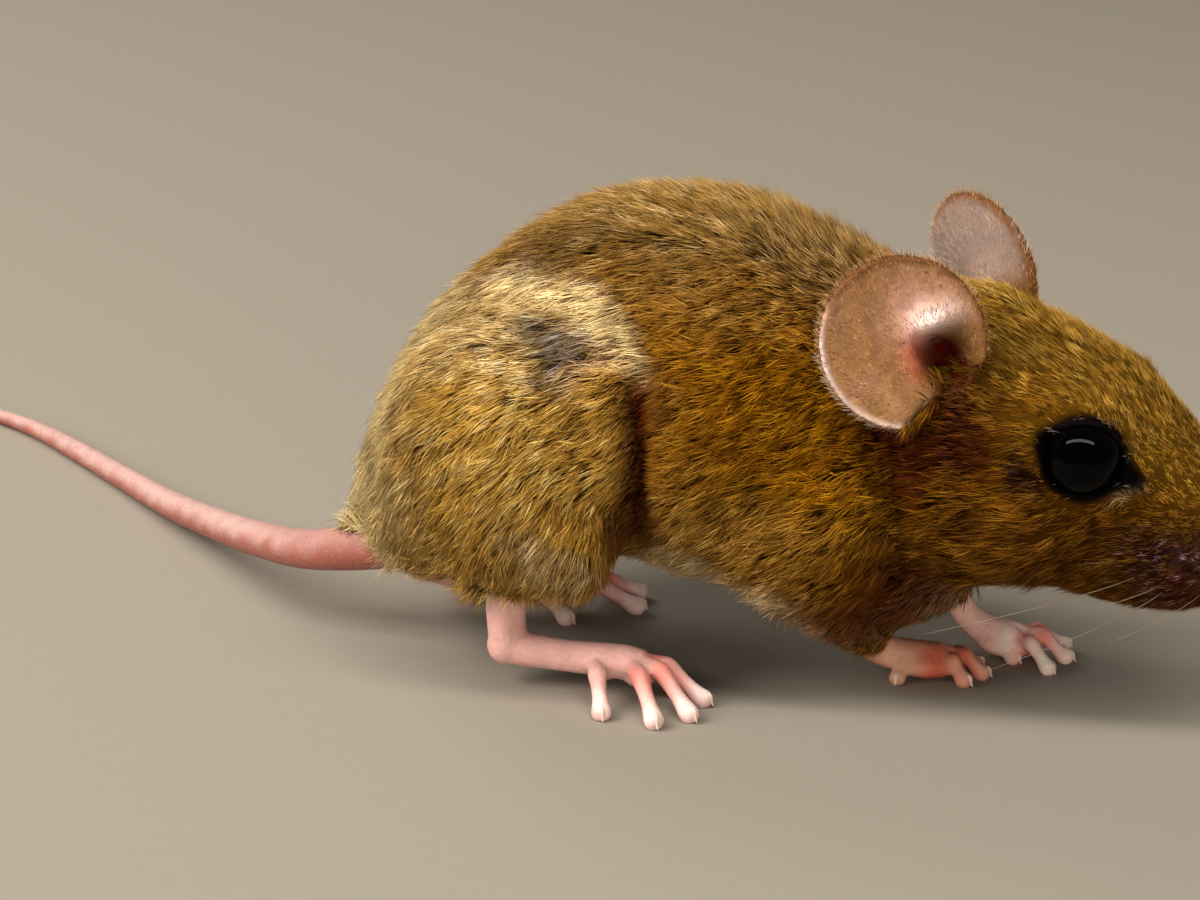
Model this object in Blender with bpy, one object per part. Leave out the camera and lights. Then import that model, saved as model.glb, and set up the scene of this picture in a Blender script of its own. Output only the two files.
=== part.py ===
"""A young field mouse, life size, crouched on four feet: the solids of a still museum model.

The sizes are millimetres. The forms are made at that scale, and brought to metres at the end.
+X runs from rump to chest, +Y to the mouse's left, +Z up, and the floor is z = 0.
The flesh is made whole and then parted with thin cuts, so neighbours meet face to face.
"""

import math

import bmesh
import bpy
from mathutils import Matrix, Vector

GAP = 0.3  # clearance at every cut
MERGE = 0.01  # slivers narrower than this are closed after a cut
SOLE_PRESS = 0.15  # how far the soles are pressed flat on the floor
SIDES = {"right": -1, "left": 1}

# ---- body, in millimetres ---------------------------------------------------------------------
# Sections from rump to chest: top forward, top height, bottom forward, bottom height, half width,
# and how far up its height a section is widest.
TRUNK = (
    (-18.1, 8.7, -15.8, 7.4, 1.4, 0.60),
    (-17.8, 12.0, -11.2, 7.2, 3.9, 0.60),
    (-15.7, 18.7, -5.2, 8.0, 7.4, 0.58),
    (-10.3, 27.3, -1.5, 8.6, 10.4, 0.53),
    (-0.8, 34.0, 2.7, 8.8, 12.2, 0.50),
    (9.2, 35.0, 7.8, 8.0, 12.6, 0.48),
    (17.2, 32.6, 13.2, 6.5, 11.2, 0.46),
    (22.6, 29.6, 18.2, 5.0, 9.3, 0.44),
    (27.0, 27.0, 24.0, 7.2, 7.6, 0.44),
)
# Swellings: centre and half sizes. The ones off the axis are mirrored.
CHEST = ((19.6, 0.0, 11.4), (8.4, 7.4, 7.2))
HAUNCH = ((-4.7, 7.5, 17.4), (9.4, 6.5, 10.2))
KNEE = ((-0.4, 9.6, 12.8), (4.6, 4.0, 4.6))
RUMP_SIDE = ((-10.0, 4.2, 11.6), (5.8, 4.8, 4.9))
SHOULDER = ((15.8, 6.2, 14.8), (7.2, 5.4, 8.5))

# ---- head, in its own frame: forward of HEAD_AT, to the side, height --------------------------
HEAD_AT = (20.0, 0.0)
HEAD_YAW = -10.9  # degrees; the head is turned a little to the right
HEAD = (
    (2.5, 29.4, 0.5, 9.5, 6.4, 0.50),
    (6.0, 29.9, 4.6, 8.2, 8.2, 0.42),
    (9.4, 29.4, 8.6, 8.9, 9.2, 0.40),
    (13.6, 27.9, 13.0, 9.3, 9.0, 0.42),
    (17.4, 26.0, 17.0, 8.7, 7.7, 0.44),
    (20.7, 23.4, 20.6, 8.5, 6.2, 0.42),
    (22.8, 21.2, 23.1, 8.8, 5.1, 0.40),
    (24.8, 19.1, 25.1, 10.0, 4.0, 0.42),
    (26.3, 17.1, 26.3, 11.9, 2.6, 0.50),
    (26.8, 15.4, 26.8, 13.1, 1.0, 0.50),
)
CHEEK = ((12.0, 5.2, 15.3), (5.4, 4.6, 4.8))
WHISKER_PAD = ((23.0, 2.9, 13.6), (3.2, 2.6, 2.7))
BROW = ((14.4, 3.7, 22.4), (4.4, 3.4, 2.9))
NOSE = ((26.4, 0.0, 15.2), (1.1, 1.45, 1.2))
EYE = (16.05, 6.2, 20.6)
EYE_RADIUS = 2.65

EAR_CENTRE = (4.5, 9.4, 28.1)
EAR_LENGTH = 11.8
EAR_WIDTH = 11.2
EAR_WALL = 0.75
EAR_LEANS_BACK = 22.0  # degrees
EAR_FACES_FORWARD = {"right": 24.0, "left": 33.0}
EAR_FACES_UP = 10.0
EAR_DISH = 0.9  # depth of the whole leaf
EAR_BOWL = 3.6  # further depth of the bowl that leads into the head
EAR_BOWL_AT = (0.36, -0.38)  # across and along the leaf, in half sizes
EAR_BOWL_SPREAD = 0.36

# ---- cuts -------------------------------------------------------------------------------------
HEAD_CUT = (20.6, 22.0)  # place on the axis at CUT_HEIGHT, and degrees the top leans back
NECK_CUT = (15.8, 18.0)
CUT_HEIGHT = 20.0
THIGH = ((-5.0, 13.6, 17.2), (10.6, 8.6, 12.2))  # outline of the thigh: centre and half sizes

# ---- limbs and tail: forward, outward, up, radius ----------------------------------------------
HIND_LEG = ((-4.8, 7.6, 10.5, 1.8), (-5.2, 7.2, 7.2, 1.55), (-5.3, 7.0, 5.0, 1.4), (-5.2, 6.9, 3.4, 1.4))
HIND_SOLE = (
    (-5.5, 7.0, 3.0, 1.3),
    (-3.8, 6.9, 2.7, 1.25),
    (-1.4, 6.8, 2.45, 1.15),
    (1.2, 6.9, 2.4, 1.2),
    (3.4, 7.0, 2.35, 1.25),
    (4.6, 7.0, 2.1, 1.1),
)
HEEL = ((-5.3, 7.0, 3.0), (1.4, 1.4, 1.5))
HIND_PADS = (((4.4, 7.2, 1.5), (1.2, 1.1, 0.8)), ((1.8, 6.4, 1.4), (1.0, 0.9, 0.7)))
# Toes: root forward, outward, up; end of the claw forward, outward; rise of the knuckle.
HIND_TOES = (
    ((1.8, 6.1, 2.0), (5.2, 4.4), 0.4),
    ((4.6, 6.6, 2.3), (9.9, 8.4), 1.0),
    ((4.6, 7.2, 2.4), (9.3, 11.5), 1.1),
    ((3.8, 7.7, 2.3), (6.9, 13.3), 1.1),
    ((1.2, 7.6, 2.2), (2.9, 12.7), 0.9),
)
HIND_TOE_RADIUS = 0.66
HIND_STANCE = {"right": 0.0, "left": -8.0}  # how far forward of the listed places each hind foot stands

# Furred part of each front leg, from the shoulder down to the wrist.
FORELEG = {
    "right": ((14.4, 7.6, 13.6, 2.6), (15.4, 7.2, 11.6, 3.6), (17.4, 5.2, 8.6, 3.3), (19.2, 2.4, 5.6, 2.2), (20.0, 1.0, 3.9, 1.5)),
    "left": ((17.2, 7.2, 13.0, 2.6), (18.4, 7.2, 11.2, 3.4), (21.2, 7.0, 8.4, 3.0), (24.0, 6.5, 5.6, 2.1), (25.2, 6.3, 4.2, 1.5)),
}
WRIST = {
    "right": ((18.9, 2.6, 6.0, 1.0), (19.7, 1.2, 4.2, 1.0), (20.0, 0.2, 2.4, 1.1), (21.6, -0.2, 1.7, 1.2), (24.8, -0.4, 1.4, 1.3)),
    "left": ((24.0, 6.5, 6.0, 1.0), (25.0, 6.3, 4.4, 1.0), (25.9, 6.1, 2.9, 1.05), (27.4, 5.8, 1.9, 1.2), (29.6, 5.2, 1.5, 1.3)),
}
FRONT_TOES = {
    "right": (
        ((22.0, 0.2, 1.3), (21.9, 2.1), 0.4),
        ((25.2, 0.0, 1.4), (27.3, 1.2), 0.8),
        ((25.6, -0.7, 1.5), (28.5, -0.8), 0.9),
        ((25.2, -1.4, 1.3), (27.8, -2.7), 0.7),
    ),
    "left": (
        ((28.6, 4.8, 1.4), (30.3, 3.7), 0.6),
        ((30.0, 4.5, 1.5), (32.9, 2.2), 0.9),
        ((30.4, 5.4, 1.6), (34.1, 5.0), 1.0),
        ((30.0, 6.1, 1.5), (33.7, 7.6), 0.9),
        ((27.8, 6.8, 1.3), (28.4, 9.3), 0.5),
    ),
}
FRONT_TOE_RADIUS = 0.58

TAIL_RADII = (1.75, 1.5, 1.3, 1.1, 0.85, 0.45)
TAIL_PATH = (
    (-14.4, -1.8, 8.0),
    (-18.4, -0.6, 6.9),
    (-22.9, 2.3, 5.4),
    (-27.2, 6.6, 4.1),
    (-31.9, 11.6, 2.9),
    (-38.6, 18.6, 1.7),
    (-45.5, 25.9, 1.05),
    (-52.5, 32.6, 0.9),
    (-58.0, 37.4, 0.8),
    (-63.8, 41.0, 0.65),
    (-70.0, 42.4, 0.4),
)
TAIL_LENGTHS = 4
TAIL_PARTING = 0.002  # share of the tail left clear on each side of a parting

# Triangles kept in each fused form, before it is cut.
BODY_FACES = 2350
HIND_FOOT_FACES = 430
FRONT_FOOT_FACES = 360


# ---- frames -----------------------------------------------------------------------------------
def in_row(forward, side, height):
    return Vector((forward, side, height))


def in_head(forward, side, height):
    """A point of the head's frame in the row frame."""
    turned = Matrix.Rotation(math.radians(HEAD_YAW), 3, "Z") @ Vector((forward, side, height))
    return turned + Vector((*HEAD_AT, 0.0))


def outward(point, side):
    return (point[0], point[1] * side, *point[2:])


# ---- general tools ----------------------------------------------------------------------------
def blended(values, t):
    """Catmull-Rom through number tuples of equal length, t from 0 to 1."""
    last = len(values) - 1
    at = min(max(t, 0.0), 1.0) * last
    i = min(int(at), last - 1)
    u = at - i
    picks = [values[min(max(i + k, 0), last)] for k in (-1, 0, 1, 2)]
    weights = (
        -0.5 * u**3 + u**2 - 0.5 * u,
        1.5 * u**3 - 2.5 * u**2 + 1.0,
        -1.5 * u**3 + 2.0 * u**2 + 0.5 * u,
        0.5 * u**3 - 0.5 * u**2,
    )
    return tuple(sum(w * p[k] for w, p in zip(weights, picks)) for k in range(len(values[0])))


def bridged(rings):
    """A closed form from rings of points, each bridged to the next and the ends filled."""
    bm = bmesh.new()
    loops = []
    for ring in rings:
        made = bmesh.ops.create_circle(bm, cap_ends=False, segments=len(ring), radius=1.0)["verts"]
        for vert, point in zip(made, ring):
            vert.co = point
        loops.append(list({edge for vert in made for edge in vert.link_edges}))
    for first, second in zip(loops, loops[1:]):
        bmesh.ops.bridge_loops(bm, edges=first + second)
    bmesh.ops.edgeloop_fill(bm, edges=loops[0])
    bmesh.ops.edgeloop_fill(bm, edges=loops[-1])
    bmesh.ops.recalc_face_normals(bm, faces=bm.faces)
    return bm


def loft(sections, place, count=34, around=28):
    rings = []
    for n in range(count):
        top_x, top_z, low_x, low_z, half, waist = blended(sections, n / (count - 1))
        mid_x = low_x + (top_x - low_x) * waist
        mid_z = low_z + (top_z - low_z) * waist
        ring = []
        for k in range(around):
            turn = 2 * math.pi * k / around
            rise = math.sin(turn)
            end_x, end_z = (top_x, top_z) if rise > 0 else (low_x, low_z)
            ring.append(
                place(
                    mid_x + (end_x - mid_x) * abs(rise),
                    half * math.cos(turn),
                    mid_z + (end_z - mid_z) * abs(rise),
                )
            )
        rings.append(ring)
    return bridged(rings)


def tube(path, count, sides, start=0.0, end=1.0, grow=0.0):
    """A closed tapering tube along points of (forward, side, up, radius), longer by the growth too."""
    rings = []
    for n in range(count):
        t = start + (end - start) * n / (count - 1)
        *centre, radius = blended(path, t)
        ahead = Vector(blended(path, t + 0.01)[:3]) - Vector(blended(path, t - 0.01)[:3])
        turn_to = ahead.to_track_quat("Z", "Y")
        overrun = {0: -grow, count - 1: grow}.get(n, 0.0)
        centre = Vector(centre) + ahead.normalized() * overrun
        ring = []
        for k in range(sides):
            turn = 2 * math.pi * k / sides
            ring.append(centre + turn_to @ Vector((math.cos(turn), math.sin(turn), 0.0)) * (radius + grow))
        rings.append(ring)
    return bridged(rings)


def ball(centre, radii, segments=28, rings=16):
    """An ellipsoid."""
    bm = bmesh.new()
    bmesh.ops.create_uvsphere(bm, u_segments=segments, v_segments=rings, radius=1.0)
    bmesh.ops.scale(bm, vec=radii, verts=bm.verts)
    bmesh.ops.translate(bm, vec=centre, verts=bm.verts)
    return bm


def grown(radii):
    return [r + GAP for r in radii]


def half_space(cut, keep_front):
    """A block with one face on the cut, less half the gap."""
    forward, lean = cut
    reach = 100.0
    away = reach / 2 + GAP / 2
    bm = bmesh.new()
    bmesh.ops.create_cube(bm, size=reach)
    bmesh.ops.translate(bm, vec=(away if keep_front else -away, 0.0, 0.0), verts=bm.verts)
    bmesh.ops.rotate(bm, matrix=Matrix.Rotation(math.radians(-lean), 3, "Y"), verts=bm.verts)
    bmesh.ops.translate(bm, vec=(forward, 0.0, CUT_HEIGHT), verts=bm.verts)
    return bm


def new_object(name, bm):
    mesh = bpy.data.meshes.new(name)
    bm.to_mesh(mesh)
    bm.free()
    made = bpy.data.objects.new(name, mesh)
    bpy.context.scene.collection.objects.link(made)
    return made


def settle(obj):
    """Makes what the modifiers give the object's own mesh."""
    graph = bpy.context.evaluated_depsgraph_get()
    mesh = bpy.data.meshes.new_from_object(obj.evaluated_get(graph))
    old = obj.data
    obj.modifiers.clear()
    obj.data = mesh
    bpy.data.meshes.remove(old)
    return obj


def fused(name, forms, voxel, smoothing, faces):
    """Overlapping closed forms melted into one smooth skin of about so many triangles."""
    whole = bmesh.new()
    for form in forms:
        held = bpy.data.meshes.new("form")
        form.to_mesh(held)
        form.free()
        whole.from_mesh(held)
        bpy.data.meshes.remove(held)
    obj = new_object(name, whole)
    remesh = obj.modifiers.new("melt", "REMESH")
    remesh.mode = "VOXEL"
    remesh.voxel_size = voxel
    smooth = obj.modifiers.new("soften", "SMOOTH")
    smooth.factor = 0.5
    smooth.iterations = smoothing
    settle(obj)
    thin = obj.modifiers.new("thin out", "DECIMATE")
    thin.ratio = faces / (2 * len(obj.data.polygons))
    return settle(obj)


def boolean(obj, form, operation):
    tool = new_object("tool", form)
    change = obj.modifiers.new("part", "BOOLEAN")
    change.solver = "EXACT"
    change.operation = operation
    change.object = tool
    settle(obj)
    bpy.data.objects.remove(tool)
    bm = bmesh.new()
    bm.from_mesh(obj.data)
    bmesh.ops.triangulate(bm, faces=bm.faces)
    bmesh.ops.dissolve_degenerate(bm, edges=bm.edges, dist=MERGE)
    bmesh.ops.remove_doubles(bm, verts=bm.verts, dist=MERGE)
    bmesh.ops.triangulate(bm, faces=bm.faces)
    bm.to_mesh(obj.data)
    bm.free()
    return obj


def cleared(obj, form):
    """The object with room cut out for a neighbour."""
    return boolean(obj, form, "DIFFERENCE")


def taken(source, name, form):
    """A new object holding the part of the source inside a closed form."""
    piece = bpy.data.objects.new(name, source.data.copy())
    bpy.context.scene.collection.objects.link(piece)
    return boolean(piece, form, "INTERSECT")


def flattened(obj, drop):
    """Lowers an object by the drop and cuts it level with the floor."""
    bm = bmesh.new()
    bm.from_mesh(obj.data)
    bmesh.ops.translate(bm, vec=(0.0, 0.0, -drop), verts=bm.verts)
    cut = bmesh.ops.bisect_plane(
        bm,
        geom=bm.verts[:] + bm.edges[:] + bm.faces[:],
        dist=MERGE,
        plane_co=(0.0, 0.0, 0.0),
        plane_no=(0.0, 0.0, -1.0),
        clear_outer=True,
    )
    bmesh.ops.edgeloop_fill(bm, edges=[e for e in cut["geom_cut"] if isinstance(e, bmesh.types.BMEdge)])
    bmesh.ops.recalc_face_normals(bm, faces=bm.faces)
    bm.to_mesh(obj.data)
    bm.free()
    return obj


def on_floor(obj):
    return flattened(obj, min(v.co.z for v in obj.data.vertices) + SOLE_PRESS)


# ---- pieces of the mouse ----------------------------------------------------------------------
def toe(root, claw, rise, radius):
    """A toe that rises to its knuckle, comes down on a round pad and ends in a blunt claw."""
    start = Vector(root)
    level = Vector((claw[0] - root[0], claw[1] - root[1], 0.0))
    ahead = level.normalized()
    pad = Vector((claw[0], claw[1], radius * 0.85)) - ahead * radius * 1.5
    path = (
        (*(start - ahead * 0.6), radius * 0.9),
        (*(start.lerp(pad, 0.35) + Vector((0.0, 0.0, rise * 0.75))), radius),
        (*(start.lerp(pad, 0.7) + Vector((0.0, 0.0, rise * 0.45))), radius * 0.92),
        (*pad, radius * 1.1),
        (*(pad + ahead * radius * 0.8), radius * 0.62),
        (*(pad + ahead * radius * 1.5 - Vector((0.0, 0.0, radius * 0.25))), 0.27),
    )
    return tube(path, 16, 12)


def hind_foot_forms(which, side):
    def placed(point):
        return (point[0] + HIND_STANCE[which], point[1] * side, *point[2:])

    forms = [
        tube([placed(p) for p in HIND_LEG], 8, 14),
        tube([placed(p) for p in HIND_SOLE], 12, 14),
        ball(placed(HEEL[0]), HEEL[1]),
    ]
    forms += [ball(placed(centre), radii) for centre, radii in HIND_PADS]
    forms += [toe(placed(root), placed(claw), rise, HIND_TOE_RADIUS) for root, claw, rise in HIND_TOES]
    return forms


def front_foot_forms(which, side):
    *_, palm = WRIST[which]
    heel = WRIST[which][-2]
    middle = [(a + b) / 2 for a, b in zip(heel[:3], palm[:3])]
    forms = [
        tube([outward(p, side) for p in WRIST[which]], 14, 14),
        ball(outward((middle[0] + 0.6, middle[1], 1.2), side), (2.4, 1.7, 1.1)),
    ]
    forms += [
        toe(outward(root, side), outward(claw, side), rise, FRONT_TOE_RADIUS)
        for root, claw, rise in FRONT_TOES[which]
    ]
    return forms


def ear_form(which, side, room=False):
    """A leaf with a bowl that leads into the head. The room it needs has its hollow filled up."""
    bm = bmesh.new()
    bmesh.ops.create_uvsphere(bm, u_segments=16, v_segments=10, radius=1.0)
    grow = GAP if room else 0.0
    tilt = (
        Matrix.Rotation(math.radians(EAR_FACES_FORWARD[which]), 3, "Z")
        @ Matrix.Rotation(math.radians(-EAR_FACES_UP), 3, "X")
        @ Matrix.Rotation(math.radians(-EAR_LEANS_BACK), 3, "Y")
    )
    for vert in bm.verts:
        spread = min(1.0, math.hypot(vert.co.x, vert.co.y))
        reach = math.asin(spread) / (math.pi / 2)
        turn = math.atan2(vert.co.y, vert.co.x)
        across = reach * math.cos(turn)
        along = reach * math.sin(turn)
        from_bowl = math.hypot(across - EAR_BOWL_AT[0], along - EAR_BOWL_AT[1]) / EAR_BOWL_SPREAD
        depth = EAR_DISH * (1.0 - reach**2) + EAR_BOWL * math.exp(-(from_bowl**2))
        wall = EAR_WALL * (0.55 + 0.45 * math.sqrt(max(0.0, 1.0 - reach**4))) / 2 + grow
        if vert.co.z < -1e-6:
            depth += wall
        elif vert.co.z > 1e-6:
            depth = -6.0 if room else depth - wall
        leaf = Vector((across * (EAR_WIDTH / 2 + grow), depth, along * (EAR_LENGTH / 2 + grow)))
        at = tilt @ leaf
        vert.co = in_head(EAR_CENTRE[0] + at.x, (EAR_CENTRE[1] - at.y) * side, EAR_CENTRE[2] + at.z)
    if bm.calc_volume(signed=True) < 0:
        bmesh.ops.reverse_faces(bm, faces=bm.faces)
    return bm


def body_forms():
    forms = [loft(TRUNK, in_row), loft(HEAD, in_head), ball(*CHEST)]
    for side in SIDES.values():
        for centre, radii in (HAUNCH, KNEE, RUMP_SIDE, SHOULDER):
            forms.append(ball(outward(centre, side), radii))
        for centre, radii in (CHEEK, WHISKER_PAD, BROW):
            forms.append(ball(in_head(*outward(centre, side)), radii))
    return forms


def tail_path():
    last = len(TAIL_PATH) - 1
    radii = [(r,) for r in TAIL_RADII]
    return [(*point, *blended(radii, n / last)) for n, point in enumerate(TAIL_PATH)]


def finish(name, colour, roughness):
    material = bpy.data.materials.new(name)
    material.use_nodes = True
    shader = material.node_tree.nodes["Principled BSDF"]
    shader.inputs["Base Color"].default_value = (*colour, 1.0)
    shader.inputs["Roughness"].default_value = roughness
    shader.inputs["Metallic"].default_value = 0.0
    return material


def build():
    """Every node of the mouse, in millimetres, with its material."""
    coat = finish("agouti coat", (0.30, 0.19, 0.08), 0.75)
    bare = finish("bare pink skin", (0.72, 0.42, 0.38), 0.5)
    ear_skin = finish("ear skin", (0.42, 0.26, 0.20), 0.6)
    nose_skin = finish("nose skin", (0.40, 0.20, 0.18), 0.4)
    black = finish("black eye", (0.01, 0.01, 0.012), 0.08)
    nodes = []

    body = fused("body", body_forms(), 0.6, 10, BODY_FACES)
    head = taken(body, "head", half_space(HEAD_CUT, True))
    rest = taken(body, "rest", half_space(HEAD_CUT, False))
    neck = taken(rest, "neck", half_space(NECK_CUT, True))
    trunk = taken(rest, "trunk", half_space(NECK_CUT, False))
    bpy.data.objects.remove(rest)
    bpy.data.objects.remove(body)

    tail = tail_path()
    trunk = cleared(trunk, tube(tail, 5, 12, 0.0, 0.14, GAP))
    nose_centre, nose_radii = NOSE
    nose_at = in_head(*nose_centre)
    head = cleared(head, ball(nose_at, grown(nose_radii), 12, 8))
    nodes.append((new_object("nose", ball(nose_at, nose_radii, 12, 8)), nose_skin))

    for which, side in SIDES.items():
        centre, radii = THIGH
        thigh = taken(trunk, f"thigh_{which}", ball(outward(centre, side), radii, 20, 12))
        trunk = cleared(trunk, ball(outward(centre, side), grown(radii), 20, 12))
        shank = [(p[0] + HIND_STANCE[which], p[1] * side, *p[2:]) for p in HIND_LEG]
        thigh = cleared(thigh, tube(shank, 4, 12, grow=GAP))
        trunk = cleared(trunk, tube(shank, 4, 12, grow=GAP))
        nodes.append((thigh, coat))
        hind_foot = fused(f"hind_foot_{which}", hind_foot_forms(which, side), 0.25, 3, HIND_FOOT_FACES)
        nodes.append((on_floor(hind_foot), bare))

        upper = [outward(p, side) for p in FORELEG[which]]
        trunk = cleared(trunk, tube(upper, 6, 12, grow=GAP))
        neck = cleared(neck, tube(upper, 6, 12, grow=GAP))
        foreleg = new_object(f"foreleg_{which}", tube(upper, 6, 12))
        wrist = [outward(p, side) for p in WRIST[which]]
        nodes.append((cleared(foreleg, tube(wrist, 6, 12, 0.0, 0.5, GAP)), coat))
        forefoot = fused(f"forefoot_{which}", front_foot_forms(which, side), 0.25, 3, FRONT_FOOT_FACES)
        nodes.append((on_floor(forefoot), bare))

        head = cleared(head, ear_form(which, side, room=True))
        nodes.append((new_object(f"ear_{which}", ear_form(which, side)), ear_skin))
        eye_at = in_head(*outward(EYE, side))
        head = cleared(head, ball(eye_at, [EYE_RADIUS + GAP] * 3, 14, 9))
        nodes.append((new_object(f"eye_{which}", ball(eye_at, [EYE_RADIUS] * 3, 14, 9)), black))
    nodes += [(head, coat), (neck, coat), (trunk, coat)]

    share = 1.0 / TAIL_LENGTHS
    for n in range(TAIL_LENGTHS):
        start = n * share + (TAIL_PARTING if n else 0.0)
        length = new_object(f"tail_{n + 1}", tube(tail, 8, 10, start, (n + 1) * share - TAIL_PARTING))
        nodes.append((flattened(length, 0.0) if n else length, bare))
    return nodes


def main():
    for old in list(bpy.data.objects):
        bpy.data.objects.remove(old)
    nodes = build()
    corners = [v.co for node, _ in nodes for v in node.data.vertices]
    middle = [(min(c[k] for c in corners) + max(c[k] for c in corners)) / 2 for k in (0, 1)]
    to_row = Matrix.Scale(0.001, 4) @ Matrix.Translation((-middle[0], -middle[1], 0.0))
    for node, material in nodes:
        node.data.transform(to_row)
        node.data.materials.clear()
        node.data.materials.append(material)
        node.data.shade_smooth()


main()
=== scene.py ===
"""The looks of a young field mouse: skin, coat, eyes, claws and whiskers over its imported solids.

Forms are worked out in millimetres in the maker's frame: +X from rump to chest, +Y to the mouse's
left, +Z up, the floor at z = 0. The last step of each piece brings it to the row's frame, in metres.
"""

import math

import bmesh
import bpy
import numpy as np
from bpy.props import FloatProperty, FloatVectorProperty, IntProperty, PointerProperty
from mathutils import Matrix, Vector, kdtree


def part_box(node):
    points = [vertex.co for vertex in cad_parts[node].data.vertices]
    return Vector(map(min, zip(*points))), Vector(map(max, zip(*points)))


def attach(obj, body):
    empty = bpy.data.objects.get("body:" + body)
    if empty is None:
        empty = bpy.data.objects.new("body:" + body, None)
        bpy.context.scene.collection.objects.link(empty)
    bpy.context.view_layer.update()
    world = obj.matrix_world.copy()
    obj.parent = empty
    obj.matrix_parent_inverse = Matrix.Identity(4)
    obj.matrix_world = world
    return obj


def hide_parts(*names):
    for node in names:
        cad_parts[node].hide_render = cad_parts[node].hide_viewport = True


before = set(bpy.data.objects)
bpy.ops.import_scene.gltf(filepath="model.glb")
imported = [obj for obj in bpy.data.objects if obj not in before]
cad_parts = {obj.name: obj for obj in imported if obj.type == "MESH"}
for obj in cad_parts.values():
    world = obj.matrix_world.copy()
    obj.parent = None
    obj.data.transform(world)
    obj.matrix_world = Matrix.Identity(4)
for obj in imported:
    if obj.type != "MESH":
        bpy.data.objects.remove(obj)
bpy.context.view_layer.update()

bl_info = {
    "name": "Field Mouse",
    "version": (1, 0, 0),
    "blender": (4, 5, 0),
    "location": "3D View > Sidebar > Field Mouse",
    "description": "Skin, coat, eyes, claws and whiskers of a young field mouse over its solids",
    "category": "Object",
}

SIDES = {"right": -1, "left": 1}
UP = Vector((0.0, 0.0, 1.0))
SEED = 7
FLESH_SWELL = 0.22  # closes the clearances between the furred solids
FLESH_GRAIN = 0.35
FLOOR_GAP = 0.02  # how far above the floor the skin ends
SKIN_SHADE = 0.22  # the skin under the coat, as a share of the coat's colour
BASE_FACES = 30000  # the light skin that the roots are planted on
TUFTS_LED = 7  # one tuft in so many draws its neighbours' tips together
DOWN_HAIRS = 26000
DOWN_COLOUR = (0.8, 0.66, 0.55)
EAR_EDGE_COLOUR = (0.62, 0.51, 0.42)
HAIR_SINK = 0.12  # how far under the skin a hair starts
HAIR_DEPTH = 0.55  # a hair's thickness, as a share of its width
HAIR_FLOOR = 0.03  # how far above the floor the lowest hair lies
BAKE_PATCH = 0.003  # the part of the unwrap that one hair takes
WHISKER_RINGS, WHISKER_SIDES = 15, 5
DULL = {"lids": 1.0, "ear": 0.7}  # how dull the bare parts are; the others are not at all
# painted light on the forefeet: the right one darker and redder as painted shade, the left one lighter
# as painted light
FOOT_PAINTED_LIGHT = {"fore_right": (0.86, 0.62, 0.45), "fore_left": (1.2, 1.25, 1.2)}

# ---- the maker's frame --------------------------------------------------------------------------
HEAD_AT = (20.0, 0.0)
HEAD_YAW = math.radians(-10.9)  # the head is turned a little to the right
EYE = (16.05, 6.2, 20.6)  # in the head's frame: forward of HEAD_AT, outward, up
EYE_RADIUS = 2.65
LID_FRONT, LID_REAR = -19.0, 155.0  # where the lids' corners are round the eye, in degrees
LID_OPEN = 80.0  # how far from the middle of the eye the lids lie, in degrees
LID_STEPS = 48
LID_RIM = 0.27
LID_HAIR = 2.4  # how thickly the hair grows round the eyes, against 1 on most of the body
LID_HAIR_OUT = 1.2  # how far out from the eye it does
FRINGE_HAIR = 1.8  # how thickly it grows on the foot of the ears' front edge
NOSE = ((26.4, 0.0, 15.2), (1.1, 1.25, 1.05))

EAR_CENTRE = (4.5, 9.4, 28.1)
EAR_LENGTH = 11.8
EAR_WIDTH = 11.2
EAR_WALL = 0.62
EAR_LEANS_BACK = 22.0  # degrees
EAR_FACES_FORWARD = {"right": 24.0, "left": 33.0}
EAR_FACES_UP = 10.0
EAR_DISH = 0.9
EAR_BOWL = 3.6
EAR_BOWL_AT = (0.36, -0.38)  # across and along the leaf, in half sizes
EAR_BOWL_SPREAD = 0.36
EAR_SINKS = {"right": 2.6, "left": 1.4}  # where the lower front edge goes into the head

# ---- limbs and tail: forward, outward, up, radius ------------------------------------------------
HIND_LEG = (
    (-4.8, 7.6, 10.5, 1.8),
    (-5.2, 7.2, 7.2, 1.55),
    (-5.3, 7.0, 5.0, 1.4),
    (-5.2, 6.9, 3.4, 1.4),
)
HIND_SOLE = (
    (-5.5, 7.0, 3.0, 1.3),
    (-3.8, 6.9, 2.7, 1.25),
    (-1.4, 6.8, 2.45, 1.15),
    (1.2, 6.9, 2.4, 1.2),
    (3.4, 7.0, 2.35, 1.25),
    (4.6, 7.0, 2.1, 1.1),
)
HEEL = ((-5.3, 7.0, 3.0), (1.4, 1.4, 1.5))
HIND_PADS = (((4.4, 7.2, 1.5), (1.2, 1.1, 0.8)), ((1.8, 6.4, 1.4), (1.0, 0.9, 0.7)))
# Toes: root forward, outward, up; end of the claw forward, outward; rise of the knuckle.
HIND_TOES = (
    ((1.8, 6.1, 2.0), (5.2, 4.4), 0.4),
    ((4.6, 6.6, 2.3), (9.9, 8.4), 1.0),
    ((4.6, 7.2, 2.4), (9.3, 11.5), 1.1),
    ((3.8, 7.7, 2.3), (6.9, 13.3), 1.1),
    ((1.2, 7.6, 2.2), (2.9, 12.7), 0.9),
)
HIND_TOE_RADIUS = 0.66
HIND_STANCE = {"right": 0.0, "left": -8.0}
WRIST = {
    "right": (
        (18.9, 2.6, 6.0, 1.0),
        (19.7, 1.2, 4.2, 1.0),
        (20.0, 0.2, 2.4, 1.1),
        (21.6, -0.2, 1.7, 1.2),
        (24.8, -0.4, 1.4, 1.3),
    ),
    "left": (
        (24.0, 6.5, 6.0, 1.0),
        (25.0, 6.3, 4.4, 1.0),
        (25.9, 6.1, 2.9, 1.05),
        (27.4, 5.8, 1.9, 1.2),
        (29.6, 5.2, 1.5, 1.3),
    ),
}
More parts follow.
